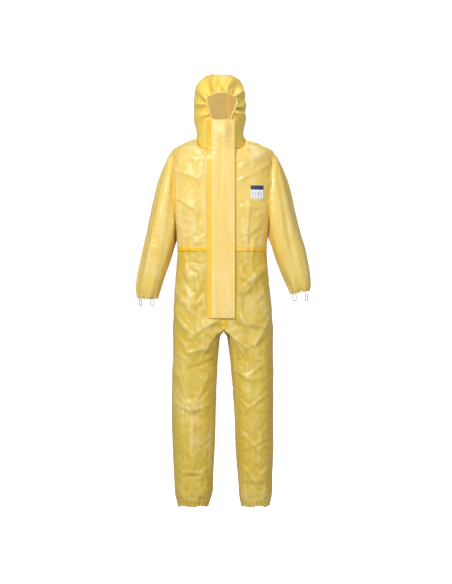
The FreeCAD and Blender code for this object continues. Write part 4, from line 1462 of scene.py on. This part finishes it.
def make_label(garment):
    low, high = (np.array(v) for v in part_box("chest_label"))
    x, z = front_grid((low[0] / MM, high[0] / MM), (low[2] / MM, high[2] / MM), 2.4)
    film = garment.front(x, z)
    y = np.minimum(blurred(film, 4, 4) - 0.9, film - 0.5)
    paint = label_print("label_print", low, high)
    obj = grid_piece("chest_label_patch", np.stack([x, y, z], -1), [paint, paint], 0.5, 0.2)
    attach(obj, "suit", ["chest_label"])


TOOTH_PITCH = 2.6
TOOTH = (3.0, 2.2, 1.5)      # across, front to back, along the zip


def make_zip():
    """A row of rounded teeth on each side, which mesh at the middle, in place of the plain coils."""
    for side, sign, offset in (("right", -1, 0.0), ("left", 1, 0.5)):
        node = "zip_coil_" + side
        low, high = (np.array(v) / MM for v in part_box(node))
        middle = (low + high) / 2
        count = int((high[2] - low[2] - TOOTH[2]) / TOOTH_PITCH)
        points, faces = [], []
        turn = np.linspace(0, 2 * math.pi, 9)[:-1] + math.pi / 8
        for k in range(count):
            z = low[2] + 1 + TOOTH_PITCH * (k + offset)
            base = len(points)
            for level, swell in ((-0.5, 0.72), (-0.3, 1.0), (0.3, 1.0), (0.5, 0.72)):
                for t in turn:
                    points.append((middle[0] + swell * TOOTH[0] / 2 * math.cos(t) - sign * 0.5,
                                   middle[1] + swell * TOOTH[1] / 2 * math.sin(t), z + level * TOOTH[2]))
            for ring in range(3):
                for t in range(8):
                    a, b = base + 8 * ring + t, base + 8 * ring + (t + 1) % 8
                    faces.append((a, b, b + 8, a + 8))
            faces.append(tuple(range(base + 7, base - 1, -1)))
            faces.append(tuple(range(base + 24, base + 32)))
        obj = piece_from(f"zip_teeth_{side}", points, faces, np.zeros(len(faces)), [MATERIALS["zip_plastic"]])
        attach(obj, "suit", [node])


CUFFS = {"right": (-302.5, 847.0), "left": (309.5, 868.0)}
LOOP_ROUTE = [(-5.0, 0.0), (-9.0, -16.0), (-6.0, -29.0), (6.0, -30.0), (9.0, -16.0), (5.0, 0.0)]
LOOP_DROP = 1.6
LOOP_R = 38.2
LOOP_ANGLES = {"right": (218.0, 298.0), "left": (242.0, 322.0)}
LOOP_NAMES = {"right": ("right_thumb", "right_finger"), "left": ("left_finger", "left_thumb")}
LOOP_DIAMETER = 3.0


def make_loops():
    for side, (x, z) in CUFFS.items():
        for name, degrees in zip(LOOP_NAMES[side], LOOP_ANGLES[side]):
            out = np.array([math.cos(math.radians(degrees)), math.sin(math.radians(degrees)), 0])
            along = np.array([-out[1], out[0], 0])
            origin = np.array([x, 0, z - LOOP_DROP]) + out * LOOP_R
            route = [(origin + along * u + np.array([0, 0, w])) * MM for u, w in LOOP_ROUTE]
            curve = bpy.data.curves.new(name + "_loop_cord", "CURVE")
            curve.dimensions = "3D"
            curve.bevel_depth = LOOP_DIAMETER / 2 * MM
            curve.bevel_resolution = 4
            curve.resolution_u = 16
            curve.use_fill_caps = True
            line = curve.splines.new("NURBS")
            line.points.add(len(route) - 1)
            for point, place in zip(line.points, route):
                point.co = (*place, 1)
            line.order_u = 3
            line.use_endpoint_u = True
            curve.materials.append(MATERIALS["loop"])
            obj = add_object(name + "_loop_cord", curve)
            attach(obj, name + "_cord", [name + "_loop"])


def finish_cad_nodes():
    """The zip's tapes, slider, pull and stops keep their CAD shape."""
    for name in ("tape_right", "tape_left", "slider", "pull", "bottom_stop", "top_stops"):
        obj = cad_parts["zip_" + name]
        paint = MATERIALS["zip_tape" if name.startswith("tape") else "zip_metal"]
        for slot_place in obj.material_slots:
            slot_place.material = paint
        if not obj.material_slots:
            obj.data.materials.append(paint)


# == Stage, lights and camera ==
def make_stage():
    """A white floor that curves up into a white wall all round, beyond the camera."""
    bend = 3.0
    profile = [(0.0, 0.0), (18.0, 0.0)]
    for t in np.linspace(0.1, math.pi / 2, 10):
        profile.append((20.0 + bend * math.sin(t), bend - bend * math.cos(t)))
    profile.append((23.0, 9.0))
    turn = np.linspace(0, 2 * math.pi, 49)
    points = [(r * 1000 * math.cos(t), r * 1000 * math.sin(t), z * 1000) for t in turn for r, z in profile]
    obj = mesh_object("studio_sweep", points, grid_faces(len(turn), len(profile)))
    obj.data.materials.append(stage_paint())
    obj.data.polygons.foreach_set("use_smooth", np.ones(len(obj.data.polygons), bool))
    obj.visible_diffuse = False
    obj.visible_glossy = False
    obj.visible_shadow = False


# Each light: its place, the point it looks at, its width in metres and its power.
LIGHTS = {
    "key": ((-2.2, -4.0, 3.2), (0, 0, 1.0), 1.2, 170),
    "fill": ((2.6, -4.5, 1.4), (0, 0, 0.8), 2.4, 58),
    "top": ((0.3, 0.2, 3.8), (0, 0, 1.2), 1.2, 14),
    "back": ((0.5, 4.5, 2.6), (0, 0, 1.0), 2.0, 60),
}
WORLD_LIGHT = 0.37


def area_light(name, place, aim, size, power):
    light = bpy.data.lights.new(name, "AREA")
    light.shape = "DISK"
    light.size = size
    light.energy = power
    obj = add_object(name, light)
    obj.location = place
    obj.rotation_euler = (Vector(aim) - Vector(place)).to_track_quat("-Z", "Y").to_euler()


def make_lights():
    world = bpy.data.worlds.new("studio_world")
    world.use_nodes = True
    world.node_tree.nodes["Background"].inputs["Color"].default_value = (1, 1, 1, 1)
    world.node_tree.nodes["Background"].inputs["Strength"].default_value = WORLD_LIGHT
    bpy.context.scene.world = world
    for name, values in LIGHTS.items():
        area_light(name, *values)


VIEW_HEIGHT = 2.371
VIEW_MIDDLE = (0.014, 0.873)
CAMERA_FAR = 18.0
SENSOR = 24.0


def make_camera():
    data = bpy.data.cameras.new("camera")
    data.sensor_fit = "VERTICAL"
    data.sensor_height = SENSOR
    data.lens = SENSOR * CAMERA_FAR / VIEW_HEIGHT
    data.clip_end = 60
    obj = add_object("camera", data)
    obj.location = (VIEW_MIDDLE[0], -CAMERA_FAR, VIEW_MIDDLE[1])
    obj.rotation_euler = (math.pi / 2, 0, 0)
    bpy.context.scene.camera = obj
    bpy.context.scene.view_settings.view_transform = "Standard"


garment = Garment()
make_film(garment)
make_tapes(garment)
make_face_elastic(garment)
make_bands()
make_flaps(garment)
make_label(garment)
make_zip()
make_loops()
finish_cad_nodes()
make_stage()
make_lights()
make_camera()
